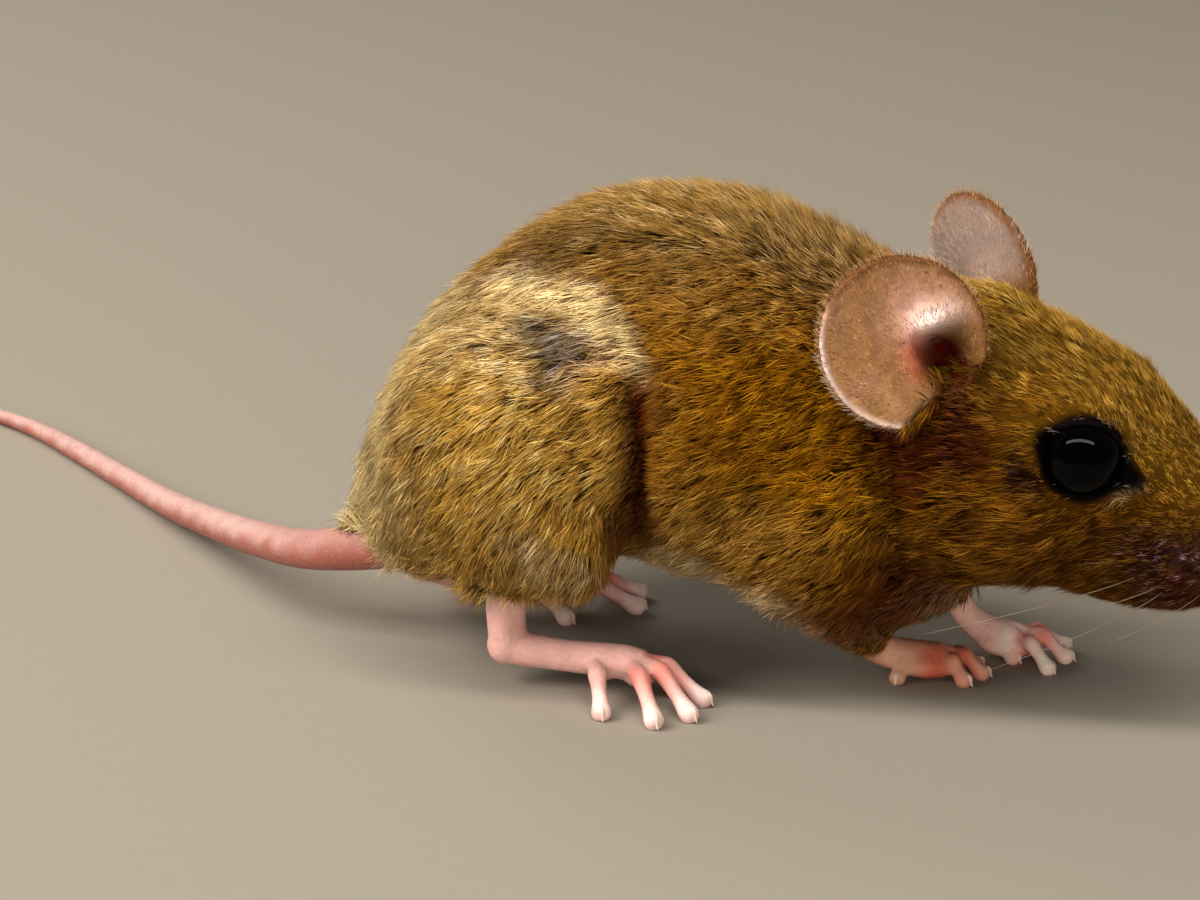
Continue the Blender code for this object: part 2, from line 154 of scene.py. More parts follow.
FRONT_TOES = {
    "right": (
        ((22.0, 0.2, 1.3), (21.9, 2.1), 0.4),
        ((25.2, 0.0, 1.4), (27.3, 1.2), 0.8),
        ((25.6, -0.7, 1.5), (28.5, -0.8), 0.9),
        ((25.2, -1.4, 1.3), (27.8, -2.7), 0.7),
    ),
    "left": (
        ((28.6, 4.8, 1.4), (30.3, 3.7), 0.6),
        ((30.0, 4.5, 1.5), (32.9, 2.2), 0.9),
        ((30.4, 5.4, 1.6), (34.1, 5.0), 1.0),
        ((30.0, 6.1, 1.5), (33.7, 7.6), 0.9),
        ((27.8, 6.8, 1.3), (28.4, 9.3), 0.5),
    ),
}
FRONT_TOE_RADIUS = 0.58
TAIL_PATH = (
    (-14.4, -1.8, 8.0, 1.75),
    (-18.4, -0.6, 6.9, 1.66),
    (-22.9, 2.3, 5.4, 1.5),
    (-27.2, 6.6, 4.1, 1.42),
    (-31.9, 11.6, 2.9, 1.3),
    (-38.6, 18.6, 1.7, 1.18),
    (-45.5, 25.9, 1.05, 1.02),
    (-52.5, 32.6, 0.9, 0.88),
    (-58.0, 37.4, 0.8, 0.72),
    (-63.8, 41.0, 0.65, 0.58),
    (-70.0, 42.4, 0.4, 0.3),
)

FLESH = (
    "head", "neck", "trunk", "thigh_right", "thigh_left", "foreleg_right", "foreleg_left",
    "hind_foot_right", "hind_foot_left", "forefoot_right", "forefoot_left",
    "ear_right", "ear_left", "nose", "tail_1", "tail_2", "tail_3", "tail_4",
)  # fmt: skip
FURRED = FLESH[:7]

# ---- the lie of the coat -------------------------------------------------------------------------
# Each line: place, the way the hair lies, its length, and its lift off the skin in degrees.
# Places and lies are forward, outward, up. The first table is in the maker's frame.
BODY_LIE = (
    ((24.0, 0.0, 29.0), (-1.0, 0.0, 0.10), 2.6, 36.0),  # nape
    ((17.0, 0.0, 33.0), (-1.0, 0.0, 0.15), 3.0, 42.0),  # withers
    ((9.0, 0.0, 35.0), (-1.0, 0.0, 0.0), 2.8, 32.0),  # top of the back
    ((-2.0, 0.0, 33.5), (-1.0, 0.0, -0.4), 2.7, 24.0),  # loins
    ((-11.0, 0.0, 26.0), (-0.7, 0.0, -1.0), 3.0, 24.0),  # rump
    ((-17.0, 0.0, 15.0), (-0.4, 0.0, -1.0), 3.3, 22.0),  # over the tail
    ((-16.0, 0.0, 9.5), (-1.0, 0.0, -0.25), 3.5, 11.0),  # root of the tail
    ((-14.5, 3.0, 7.5), (-1.0, -0.25, -0.1), 3.9, 9.0),  # beside the root of the tail
    ((-13.0, 2.0, 6.4), (-1.0, 0.0, 0.1), 1.6, 7.0),  # under the root of the tail
    ((9.0, 9.0, 29.0), (-1.0, 0.2, -0.35), 2.6, 24.0),  # upper flank
    ((9.0, 12.4, 20.0), (-1.0, 0.0, -0.32), 2.4, 20.0),  # flank
    ((9.0, 10.0, 12.0), (-0.9, 0.0, -0.9), 2.9, 22.0),  # lower flank
    ((12.0, 8.0, 8.0), (-0.6, 0.2, -1.0), 3.9, 40.0),  # edge of the belly
    ((6.0, 2.0, 7.5), (-1.0, 0.0, 0.0), 2.4, 14.0),  # belly
    ((17.0, 10.0, 22.0), (-1.0, 0.0, -0.35), 2.4, 20.0),  # shoulder
    ((17.0, 9.0, 12.0), (-0.9, 0.0, -0.6), 2.5, 18.0),  # upper arm
    ((21.0, 2.0, 5.5), (-1.0, 0.0, -0.2), 2.0, 14.0),  # chest
    ((22.0, 4.0, 5.0), (-0.5, 0.0, -1.0), 1.1, 12.0),  # forearm
    ((5.0, 10.0, 29.0), (-1.0, 0.2, -0.2), 2.5, 20.0),  # above the haunch
    ((-4.0, 10.0, 27.5), (-1.0, 0.3, -0.3), 2.7, 24.0),  # top of the haunch
    ((3.0, 13.0, 20.0), (-0.85, 0.4, -0.5), 2.5, 28.0),  # front of the haunch
    ((-5.0, 14.0, 18.0), (-0.75, 0.0, -0.75), 2.8, 22.0),  # haunch
    ((-12.0, 9.0, 19.0), (-0.5, 0.0, -0.9), 3.3, 28.0),  # side of the rump
    ((-4.0, 12.0, 9.5), (-0.4, 0.0, -1.0), 2.3, 15.0),  # lower haunch
    ((2.6, 12.5, 12.0), (-0.35, 0.0, -1.0), 2.8, 18.0),  # knee
    ((-13.0, 8.0, 12.0), (-0.5, 0.0, -0.9), 3.0, 22.0),  # seat
    ((-10.0, 7.0, 8.0), (-0.9, 0.0, -0.45), 2.3, 12.0),  # under the seat
)
HEAD_LIE = (
    ((9.0, 0.0, 30.0), (-1.0, 0.0, 0.1), 2.3, 24.0),  # crown
    ((14.0, 2.0, 28.0), (-1.0, 0.1, 0.3), 1.9, 24.0),  # forehead
    ((20.0, 0.0, 24.0), (-0.9, 0.0, 0.4), 1.4, 24.0),  # bridge
    ((25.5, 0.0, 18.0), (-0.7, 0.0, 0.6), 0.7, 20.0),  # tip of the snout
    ((16.0, 5.0, 25.0), (-1.0, 0.3, 0.4), 1.5, 24.0),  # brow
    ((20.5, 4.6, 20.0), (-0.6, 0.3, 0.5), 1.1, 20.0),  # before the eye
    ((11.5, 8.0, 21.0), (-1.0, 0.0, -0.05), 2.4, 17.0),  # temple
    ((17.0, 7.2, 15.6), (-1.0, 0.1, -0.05), 2.2, 18.0),  # below the eye
    ((10.0, 9.0, 15.0), (-1.0, 0.0, -0.2), 3.0, 17.0),  # cheek
    ((12.0, 5.0, 9.5), (-1.0, -0.2, -0.1), 2.2, 14.0),  # jaw
    ((20.0, 1.0, 8.8), (-1.0, 0.0, 0.0), 1.3, 14.0),  # chin
    ((24.0, 4.0, 14.0), (-1.0, 0.4, -0.1), 0.8, 24.0),  # whisker pad
    ((25.5, 2.0, 12.0), (-1.0, 0.3, -0.2), 0.7, 22.0),  # lip
    ((2.0, 8.5, 20.0), (-1.0, 0.0, -0.25), 3.0, 18.0),  # side of the neck
    ((3.0, 6.0, 9.0), (-1.0, 0.0, -0.2), 2.8, 15.0),  # throat
    ((4.0, 9.5, 23.0), (-1.0, 0.0, -0.3), 2.1, 20.0),  # below the ear
    ((9.5, 7.0, 26.5), (-0.8, 0.25, 0.5), 1.9, 26.0),  # before the ear
)


def in_head(forward, side, height):
    """A point of the head's frame in the maker's frame."""
    return Matrix.Rotation(HEAD_YAW, 3, "Z") @ Vector((forward, side, height)) + Vector((*HEAD_AT, 0.0))


def outward(point, side):
    """A point given as forward, outward and so on, brought to one side of the body."""
    return (point[0], point[1] * side, *point[2:])


low_eye, high_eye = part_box("eye_right")
SHIFT = (low_eye + high_eye) * 500.0 - in_head(*outward(EYE, -1))
TO_MAKER = Matrix.Translation(-SHIFT) @ Matrix.Scale(1000.0, 4)
TO_ROW = TO_MAKER.inverted()


# ---- settings ------------------------------------------------------------------------------------
def length_of(name, text, default):
    return FloatProperty(name=name, description=text, default=default, min=0.0, unit="LENGTH")


def colour_of(name, text, default):
    return FloatVectorProperty(
        name=name, description=text, default=default, min=0.0, max=1.0, size=3, subtype="COLOR"
    )


def number_of(name, text, default, unit="NONE"):
    return FloatProperty(name=name, description=text, default=default, unit=unit)


def faces_of(text, default):
    return IntProperty(name="Faces", description=text, default=default, min=1000)


class MOUSE_PG_skin(bpy.types.PropertyGroup):
    grain: length_of("Grain", "Spacing of the points that the skin is melted into", 0.0002)
    faces: faces_of("Triangles kept in the skin", 190000)
    depth: number_of("Depth", "How deep the skin lies under the coat, as a share of its height", 0.9)
    pink: colour_of("Pink", "Bare skin of the feet and the tail", (0.80, 0.46, 0.40))
    pale: colour_of("Pale", "Tips of the toes and top of the tail", (0.95, 0.76, 0.70))
    tail: colour_of("Tail", "Sides and root of the tail", (0.33, 0.09, 0.065))
    # the top of the tail is painted paler where it faces up: painted light from above
    tail_top: colour_of("Top of the tail", "Top of the tail", (0.53, 0.33, 0.29))
    red: colour_of("Red", "Skin between the toes and folds of the ear", (0.74, 0.12, 0.07))
    ear: colour_of("Ear", "Leaf of the ear", (0.37, 0.185, 0.072))
    ear_back: colour_of("Back of the ear", "Back of the ear", (0.28, 0.205, 0.175))
    # the canal's colour is the red of the skin deepened with painted shade
    canal: colour_of("Canal", "Deep inside the ear", (0.09, 0.006, 0.003))
    lid: colour_of("Lid", "Rims of the eyelids", (0.003, 0.002, 0.002))
    nose: colour_of("Nose", "Bare nose pad", (0.42, 0.19, 0.16))


class MOUSE_PG_coat(bpy.types.PropertyGroup):
    faces: faces_of("Triangles in each piece of the coat", 189000)
    width: length_of("Width", "Width of a hair where it is widest", 0.0001)
    back: colour_of("Back", "Top of the back and rump", (0.30, 0.165, 0.035))
    gold: colour_of("Gold", "Flanks and shoulders", (0.275, 0.103, 0.001))
    haunch: colour_of("Haunch", "Haunch and seat", (0.82, 0.49, 0.09))
    # cream also paints the highlight along the top of the haunch
    cream: colour_of("Cream", "Arc over the haunch", (0.98, 0.76, 0.36))
    belly: colour_of("Belly", "Underside and edge of the belly", (0.66, 0.52, 0.33))
    slate: colour_of("Slate", "Under-fur where the coat parts", (0.15, 0.14, 0.115))
    # maroon paints shade: in the fold of the haunch, on the chest and round the foot of the ears
    maroon: colour_of("Maroon", "Folds of the haunch and behind the ear", (0.11, 0.015, 0.001))
    # umber is dark fur along the back, and painted shade behind the haunch and on the foot of the ears
    umber: colour_of("Umber", "Shaded band along the back and behind the haunch", (0.17, 0.085, 0.022))
    olive: colour_of("Olive", "Forehead and crown", (0.38, 0.20, 0.02))
    # the cheek colour is painted shade on the lower side of the head
    cheek: colour_of("Cheek", "Cheek and jaw", (0.125, 0.041, 0.004))
    dusk: colour_of("Dusk", "Whisker pads and lips", (0.022, 0.006, 0.004))


class MOUSE_PG_stage(bpy.types.PropertyGroup):
    floor: colour_of("Floor", "Colour of the floor", (0.27, 0.235, 0.19))
    high: number_of("High", "Power of the lamp overhead", 3.05, "POWER")
    side: number_of("Side", "Power of the lamp on the left", 4.6, "POWER")
    rim: number_of("Rim", "Power of the lamp behind", 1.2, "POWER")
    fill: number_of("Fill", "Power of the low lamp in front", 2.5, "POWER")
    room: number_of("Room", "Strength of the light all round", 0.11)


# ---- nodes ---------------------------------------------------------------------------------------
class Wire:
    """A socket whose arithmetic adds the Math nodes for it."""

    def __init__(self, plan, socket):
        self.plan, self.socket = plan, socket

    def _math(self, operation, *values):
        return self.plan.add("ShaderNodeMath", {"operation": operation}, dict(enumerate(values)))

    def __add__(self, other):
        return self._math("ADD", self, other)

    def __mul__(self, other):
        return self._math("MULTIPLY", self, other)

    def __rsub__(self, other):
        return self._math("SUBTRACT", other, self)

    __radd__ = __add__
    __rmul__ = __mul__

    def clamped(self):
        return self.plan.add("ShaderNodeClamp", {}, {0: self})

    def sine(self):
        return self._math("SINE", self)


class Plan:
    """A material with its shader, and one way to add any other node."""

    def __init__(self, name, **constants):
        self.material = bpy.data.materials.new(name)
        self.material.use_nodes = True
        self.tree = self.material.node_tree
        self.shader = self.tree.nodes["Principled BSDF"]
        for socket, value in constants.items():
            self.feed(self.shader.inputs[socket.replace("_", " ")], value)

    def feed(self, socket, value):
        if isinstance(value, Wire):
            self.tree.links.new(value.socket, socket)
        elif socket.type == "RGBA" and len(value) == 3:
            socket.default_value = (*value, 1.0)
        else:
            socket.default_value = value

    def add(self, kind, settings, sockets, out=0):
        node = self.tree.nodes.new(kind)
        for key, value in settings.items():
            if key == "stops":
                while len(node.color_ramp.elements) < len(value):
                    node.color_ramp.elements.new(0.5)
                for stop, (place, level) in zip(node.color_ramp.elements, value):
                    stop.position, stop.color = place, (level, level, level, 1.0)
            else:
                setattr(node, key, value)
        for key, value in sockets.items():
            self.feed(node.inputs[key], value)
        return Wire(self, node.outputs[out])

    def paint(self, colour):
        self.feed(self.shader.inputs["Base Color"], colour)

    def attribute(self, name, out="Fac"):
        return self.add("ShaderNodeAttribute", {"attribute_name": name}, {}, out)

    def noise(self, scale, detail=2.0):
        place = self.add("ShaderNodeTexCoord", {}, {}, "Object")
        sockets = {"Vector": place, "Scale": scale, "Detail": detail}
        return self.add("ShaderNodeTexNoise", {}, sockets, "Fac")

    def ramp(self, value, *stops):
        """Grey levels from stops of (place, level)."""
        return self.add("ShaderNodeValToRGB", {"stops": stops}, {0: value})

    def mix(self, factor, first, second, blend="MIX"):
        settings = {"data_type": "RGBA", "blend_type": blend}
        return self.add("ShaderNodeMix", settings, {0: factor, 6: first, 7: second}, 2)

    def scaled(self, colour, share):
        sockets = {"Vector": colour, "Scale": share}
        return self.add("ShaderNodeVectorMath", {"operation": "SCALE"}, sockets)

    def bump(self, height, distance, strength):
        sockets = {"Height": height, "Distance": distance, "Strength": strength}
        self.feed(self.shader.inputs["Normal"], self.add("ShaderNodeBump", {}, sockets, "Normal"))


# ---- general tools -------------------------------------------------------------------------------
def blended(values, t):
    """Catmull-Rom through number tuples of equal length, t from 0 to 1."""
    last = len(values) - 1
    at = min(max(t, 0.0), 1.0) * last
    i = min(int(at), last - 1)
    u = at - i
    picks = [values[min(max(i + k, 0), last)] for k in (-1, 0, 1, 2)]
    weights = (
        -0.5 * u**3 + u**2 - 0.5 * u,
        1.5 * u**3 - 2.5 * u**2 + 1.0,
        -1.5 * u**3 + 2.0 * u**2 + 0.5 * u,
        0.5 * u**3 - 0.5 * u**2,
    )
    return tuple(sum(w * p[k] for w, p in zip(weights, picks)) for k in range(len(values[0])))


def edges_of(ring):
    """The edges at a ring's points, in the same order on every run."""
    return list(dict.fromkeys(edge for vert in ring for edge in vert.link_edges))


def tube(path, count, sides):
    """A closed tapering tube along points of (forward, side, up, radius)."""
    bm = bmesh.new()
    loops = []
    for n in range(count):
        t = n / (count - 1)
        *centre, radius = blended(path, t)
        ahead = Vector(blended(path, t + 0.01)[:3]) - Vector(blended(path, t - 0.01)[:3])
        turn_to = ahead.to_track_quat("Z", "Y").to_matrix().to_4x4()
        ring = bmesh.ops.create_circle(bm, cap_ends=False, segments=sides, radius=radius)["verts"]
        bmesh.ops.transform(bm, matrix=Matrix.Translation(centre) @ turn_to, verts=ring)
        loops.append(edges_of(ring))
    for first, second in zip(loops, loops[1:]):
        bmesh.ops.bridge_loops(bm, edges=first + second)
    bmesh.ops.edgeloop_fill(bm, edges=loops[0])
    bmesh.ops.edgeloop_fill(bm, edges=loops[-1])
    bmesh.ops.recalc_face_normals(bm, faces=bm.faces)
    return bm


def ball(centre, radii, segments=32, rings=20):
    """An upright ellipsoid."""
    bm = bmesh.new()
    bmesh.ops.create_uvsphere(bm, u_segments=segments, v_segments=rings, radius=1.0)
    bmesh.ops.scale(bm, vec=radii, verts=bm.verts)
    bmesh.ops.translate(bm, vec=centre, verts=bm.verts)
    return bm


def joined(forms):
    """All the forms in one, which uses them up."""
    whole = bmesh.new()
    for form in forms:
        held = bpy.data.meshes.new("form")
        form.to_mesh(held)
        form.free()
        whole.from_mesh(held)
        bpy.data.meshes.remove(held)
    return whole


def linked(name, data):
    """A new object in the scene that holds some data."""
    made = bpy.data.objects.new(name, data)
    bpy.context.scene.collection.objects.link(made)
    return made


def new_object(name, bm):
    mesh = bpy.data.meshes.new(name)
    bm.to_mesh(mesh)
    bm.free()
    return linked(name, mesh)


def settle(obj):
    """Makes what the modifiers give the object's own mesh."""
    graph = bpy.context.evaluated_depsgraph_get()
    mesh = bpy.data.meshes.new_from_object(obj.evaluated_get(graph))
    old = obj.data
    obj.modifiers.clear()
    obj.data = mesh
    bpy.data.meshes.remove(old)
    return obj


def melted(obj, voxel, smoothing):
    """Overlapping closed forms melted into one smooth surface."""
    remesh = obj.modifiers.new("melt", "REMESH")
    remesh.mode = "VOXEL"
    remesh.voxel_size = voxel
    soften = obj.modifiers.new("soften", "SMOOTH")
    soften.factor = 0.5
    soften.iterations = smoothing
    return settle(obj)


def thinned(obj, faces):
    """The same surface in about so many triangles."""
    thin = obj.modifiers.new("thin out", "DECIMATE")
    thin.ratio = min(1.0, faces / (2 * len(obj.data.polygons)))
    return settle(obj)


def points_of(mesh):
    points = np.empty(len(mesh.vertices) * 3, np.float32)
    mesh.vertices.foreach_get("co", points)
    return points.reshape(-1, 3).astype(np.float64)


def normals_of(mesh):
    normals = np.empty(len(mesh.vertices) * 3, np.float32)
    mesh.vertex_normals.foreach_get("vector", normals)
    return normals.reshape(-1, 3).astype(np.float64)


def put_points(mesh, points):
    mesh.vertices.foreach_set("co", points.astype(np.float32).ravel())
    mesh.update()


def put_value(mesh, name, values):
    numbers = mesh.attributes.new(name, "FLOAT", "POINT")
    numbers.data.foreach_set("value", np.asarray(values, np.float32))


def put_colour(mesh, name, values):
    full = np.concatenate([np.clip(values, 0.0, 1.0), np.ones((len(values), 1))], axis=1)
    colours = mesh.attributes.new(name, "FLOAT_COLOR", "POINT")
    colours.data.foreach_set("color", full.astype(np.float32).ravel())


def finished(obj, material, replaces=()):
    """Brings a piece to the row's frame, in metres, and tells the frame what it is."""
    obj.data.transform(TO_ROW)
    obj.data.materials.clear()
    obj.data.materials.append(material)
    obj.data.shade_smooth()
    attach(obj, "root")
    if replaces:
        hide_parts(*replaces)


def steps(low, high, value):
    """A smooth step from 0 at low to 1 at high."""
    t = np.clip((np.asarray(value, float) - low) / (high - low), 0.0, 1.0)
    return t * t * (3.0 - 2.0 * t)


def unit(vectors):
    return vectors / np.maximum(np.linalg.norm(vectors, axis=1, keepdims=True), 1e-9)


def ripple(points, size, seed):
    """A smooth field between about -1 and 1 whose waves are about so many millimetres long."""
    draw = np.random.default_rng(seed)
    total = np.zeros(len(points))
    for _ in range(7):
        way = draw.normal(size=3)
        way *= 2.0 * math.pi / size / np.linalg.norm(way) * draw.uniform(0.6, 1.5)
        total += np.sin(points @ way + draw.uniform(0.0, 2.0 * math.pi))
    return total / 2.6


def ripples(points, size, seed):
    """Three such fields, one for each axis."""
    return np.stack([ripple(points, size, seed + n) for n in range(3)], axis=1)


def patch(places, middle, half_sizes):
    """A soft round patch, 1 in its middle and 0 far from it."""
    away = (((places - np.array(middle)) / np.array(half_sizes)) ** 2).sum(axis=1)
    return np.exp(-(away**1.5))


def tree_of(places):
    """A tree that finds the nearest of some places."""
    tree = kdtree.KDTree(len(places))
    for index, place in enumerate(places):
        tree.insert(place, index)
    tree.balance()
    return tree


def turned(x, y, yaw=HEAD_YAW):
    """A way across the ground, turned as the head is."""
    c, s = math.cos(yaw), math.sin(yaw)
    return x * c - y * s, x * s + y * c


def to_head(points):
    """Points of the maker's frame in the head's frame."""
    moved = points - np.array([*HEAD_AT, 0.0])
    return np.stack([*turned(moved[:, 0], moved[:, 1], -HEAD_YAW), moved[:, 2]], axis=1)


def folded(points):
    """Points with the mouse's two sides laid on each other."""
    return np.stack([points[:, 0], np.abs(points[:, 1]), points[:, 2]], axis=1)


def eye_place(side):
    return np.array(in_head(*outward(EYE, side)))


# ---- the ears ------------------------------------------------------------------------------------
def ear_tilt(which):
    return (
        Matrix.Rotation(math.radians(EAR_FACES_FORWARD[which]), 3, "Z")
        @ Matrix.Rotation(math.radians(-EAR_FACES_UP), 3, "X")
        @ Matrix.Rotation(math.radians(-EAR_LEANS_BACK), 3, "Y")
    )


def hill(across, along, at, spread, exp=math.exp):
    """A soft round rise on the leaf of the ear; np.exp works it out for many points at once."""
    return exp(-(((across - at[0]) / spread[0]) ** 2) - ((along - at[1]) / spread[1]) ** 2)


def buried(across, along):
    """How far the foot of the ear's front edge has gone into the head, from 0 to 1."""
    return steps(0.66, 0.92, 0.35 * across - 0.94 * along) * steps(0.52, 0.70, -along)


def ear_front(across, along):
    """How far the folds of the ear's inner face stand out of its plain dish."""
    rise = 1.5 * hill(across, along, (0.40, 0.06), (0.26, 0.15))  # swelling over the canal
    rise += 0.9 * hill(across, along, (0.06, -0.28), (0.12, 0.26))  # fold behind the canal
    rise += 0.5 * hill(across, along, (0.16, -0.74), (0.16, 0.12))  # lobe below it
    rise += 0.7 * hill(across, along, (0.74, -0.42), (0.10, 0.28))  # front lip of the canal
    rise -= 1.9 * hill(across, along, (0.41, -0.42), (0.14, 0.26))  # canal
    rise -= 0.3 * hill(across, along, (-0.12, 0.0), (0.16, 0.45))  # hollow behind the folds
    return rise


def ear_place(which, side, across, depth, along):
    """The reverse of in_ear, for one point."""
    at = ear_tilt(which) @ Vector((across * EAR_WIDTH / 2, depth, along * EAR_LENGTH / 2))
    return in_head(EAR_CENTRE[0] + at.x, (EAR_CENTRE[1] - at.y) * side, EAR_CENTRE[2] + at.z)


def in_ear(which, side, points):
    """Across, depth and along the leaf of the ear for points of the maker's frame."""
    ahead, left, up = to_head(points).T
    at = np.stack([ahead - EAR_CENTRE[0], EAR_CENTRE[1] - left * side, up - EAR_CENTRE[2]], axis=1)
    local = at @ np.array(ear_tilt(which))
    return local[:, 0] / (EAR_WIDTH / 2), local[:, 1], local[:, 2] / (EAR_LENGTH / 2)


def ear_form(which, side):
    """A thin leaf with a curled rim, folds on its inner face and a bowl that leads into the head."""
    bm = bmesh.new()
    bmesh.ops.create_uvsphere(bm, u_segments=112, v_segments=72, radius=1.0)
    for vert in bm.verts:
        reach = math.asin(min(1.0, math.hypot(vert.co.x, vert.co.y))) / (math.pi / 2)
        turn = math.atan2(vert.co.y, vert.co.x)
        across, along = reach * math.cos(turn), reach * math.sin(turn)
        from_bowl = math.hypot(across - EAR_BOWL_AT[0], along - EAR_BOWL_AT[1]) / EAR_BOWL_SPREAD
        depth = EAR_DISH * (1.0 - reach**2) + EAR_BOWL * math.exp(-(from_bowl**2))
        curl = math.exp(-(((reach - 0.965) / 0.04) ** 2))
        wall = EAR_WALL * (0.5 + 0.5 * math.sqrt(max(0.0, 1.0 - reach**4))) / 2 + 0.16 * curl
        wall += 0.35 * math.exp(-(from_bowl**2))
        depth -= 0.25 * curl * (0.5 - 0.5 * math.sin(turn - 0.6))
        depth += EAR_SINKS[which] * buried(across, along)
        if vert.co.z < -1e-6:
            depth += wall
        elif vert.co.z > 1e-6:
            depth -= wall + ear_front(across, along)
        vert.co = ear_place(which, side, across, depth, along)
    if bm.calc_volume(signed=True) < 0:
        bmesh.ops.reverse_faces(bm, faces=bm.faces)
    return bm


# ---- feet, tail, lids ----------------------------------------------------------------------------
def toe_pad(root, claw, radius):
    """The way a toe points across the ground, and the middle of its end pad."""
    ahead = Vector((claw[0] - root[0], claw[1] - root[1], 0.0)).normalized()
    return ahead, Vector((claw[0], claw[1], radius * 0.85)) - ahead * radius * 1.5


def toe(root, claw, rise, radius):
    """A toe with a knuckle, a waist behind its end pad, and a blunt round end."""
    start = Vector(root)
    ahead, pad = toe_pad(root, claw, radius)
    path = (
        (*(start - ahead * 0.6), radius * 0.92),
        (*(start.lerp(pad, 0.22) + UP * rise * 0.55), radius * 0.88),
        (*(start.lerp(pad, 0.42) + UP * rise * 0.8), radius * 1.04),
        (*(start.lerp(pad, 0.62) + UP * rise * 0.55), radius * 0.86),
        (*(start.lerp(pad, 0.82) + UP * rise * 0.25), radius * 0.86),
        (*pad, radius * 1.12),
        (*(pad + ahead * radius * 0.7), radius * 1.0),
        (*(pad + ahead * radius * 1.2), radius * 0.55),
    )
    return tube(path, 30, 16)


def standing(which, side):
    """Brings points of the hind foot to where it stands."""

    def placed(point):
        return (point[0] + HIND_STANCE[which], point[1] * side, *point[2:])

    return placed


def hind_toes(which, side):
    """Each toe's root, the end of its claw, the rise of its knuckle and its radius."""
    placed = standing(which, side)
    return [(placed(root), placed(claw), rise, HIND_TOE_RADIUS) for root, claw, rise in HIND_TOES]


def front_toes(which, side):
    """The same for a forefoot."""
    return [
        (outward(root, side), outward(claw, side), rise, FRONT_TOE_RADIUS)
        for root, claw, rise in FRONT_TOES[which]
    ]


def tendon(first, last):
    """A low ridge along the top of the foot, to the root of a toe."""
    start, end = Vector(first), Vector(last)
    middle = start.lerp(end, 0.5) + Vector((0.0, 0.0, 0.12))
    return tube(((*start, 0.34), (*middle, 0.4), (*end, 0.42)), 8, 10)


def hind_foot_forms(which, side):
    """Shank, sole, heel, pads, toes and tendons."""
    placed = standing(which, side)
    forms = [
        tube([placed(p) for p in HIND_LEG], 16, 24),
        tube([placed(p) for p in HIND_SOLE], 24, 24),
        ball(placed(HEEL[0]), HEEL[1]),
    ]
    forms += [ball(placed(centre), radii) for centre, radii in HIND_PADS]
    forms += [toe(*line) for line in hind_toes(which, side)]
    ankle = placed((-2.2, 6.7, 3.0))
    forms += [tendon(ankle, (*root[:2], root[2] + 0.62)) for root, *_ in hind_toes(which, side)[1:4]]
    return forms


def front_foot_forms(which, side):
    """Wrist, palm, toes and tendons."""
    *_, heel, palm = WRIST[which]
    middle = [(a + b) / 2 for a, b in zip(heel[:3], palm[:3])]
    forms = [
        tube([outward(p, side) for p in WRIST[which]], 26, 24),
        ball(outward((middle[0] + 0.6, middle[1], 1.2), side), (2.4, 1.7, 1.1)),
    ]
    forms += [toe(*line) for line in front_toes(which, side)]
    wrist = outward((heel[0], heel[1], heel[2] + 0.7), side)
    forms += [tendon(wrist, (*root[:2], root[2] + 0.5)) for root, *_ in front_toes(which, side)[1:4]]
    return forms


def gaze(side):
    """The way the eye looks out, and two ways across it: forward and up."""
    out = Vector((0.30, 0.93 * side, 0.14)).normalized()
    out = Matrix.Rotation(HEAD_YAW, 3, "Z") @ out
    up = (UP - out * out.z).normalized()
    fore = out.cross(up)
    return out, fore if fore.x > 0 else -fore, up


def lid_form(side):
    """The rim of the lids, drawn into a corner low in front and a slighter one high behind."""
    out, fore, up = gaze(side)
    centre = Vector(eye_place(side))
    path = []
    for n in range(LID_STEPS + 1):
        turn = 2.0 * math.pi * n / LID_STEPS
        front, rear = corner(turn, LID_FRONT, 0.34), corner(turn, LID_REAR, 0.4)
        open_to = math.radians(LID_OPEN + 7.0 * math.cos(2.0 * turn) - 7.0 * max(0.0, -math.sin(turn)))
        way = fore * math.cos(turn) + up * math.sin(turn)
        stand = EYE_RADIUS + 0.06 + 1.0 * front + 0.3 * rear
        path.append(centre + out * math.cos(open_to) * EYE_RADIUS + way * math.sin(open_to) * stand)
    bm = bmesh.new()
    loops = []
    for n in range(LID_STEPS):
        here, before = path[n], path[(n - 1) % LID_STEPS]
        ahead, outside = (path[n + 1] - before).normalized(), (here - centre).normalized()
        turn_to = Matrix((outside.cross(ahead), outside, ahead)).transposed().to_4x4()
        ring = bmesh.ops.create_circle(bm, cap_ends=False, segments=16, radius=LID_RIM)["verts"]
        flat = Matrix.Diagonal((2.0, 0.8, 1.0, 1.0))
        bmesh.ops.transform(bm, matrix=Matrix.Translation(here) @ turn_to @ flat, verts=ring)
        loops.append(edges_of(ring))
    for first, second in zip(loops, loops[1:] + loops[:1]):
        bmesh.ops.bridge_loops(bm, edges=first + second)
    bmesh.ops.recalc_face_normals(bm, faces=bm.faces)
    return bm


def bare_forms():
    """The parts of the skin that no long hair covers, by name."""
    forms = {"nose": [ball(in_head(*NOSE[0]), NOSE[1])], "tail": [tube(TAIL_PATH, 160, 26)]}
    for which, side in SIDES.items():
        forms[f"ear_{which}"] = [ear_form(which, side)]
        forms[f"hind_{which}"] = hind_foot_forms(which, side)
        forms[f"fore_{which}"] = front_foot_forms(which, side)
        forms[f"lids_{which}"] = [lid_form(side)]
    return forms


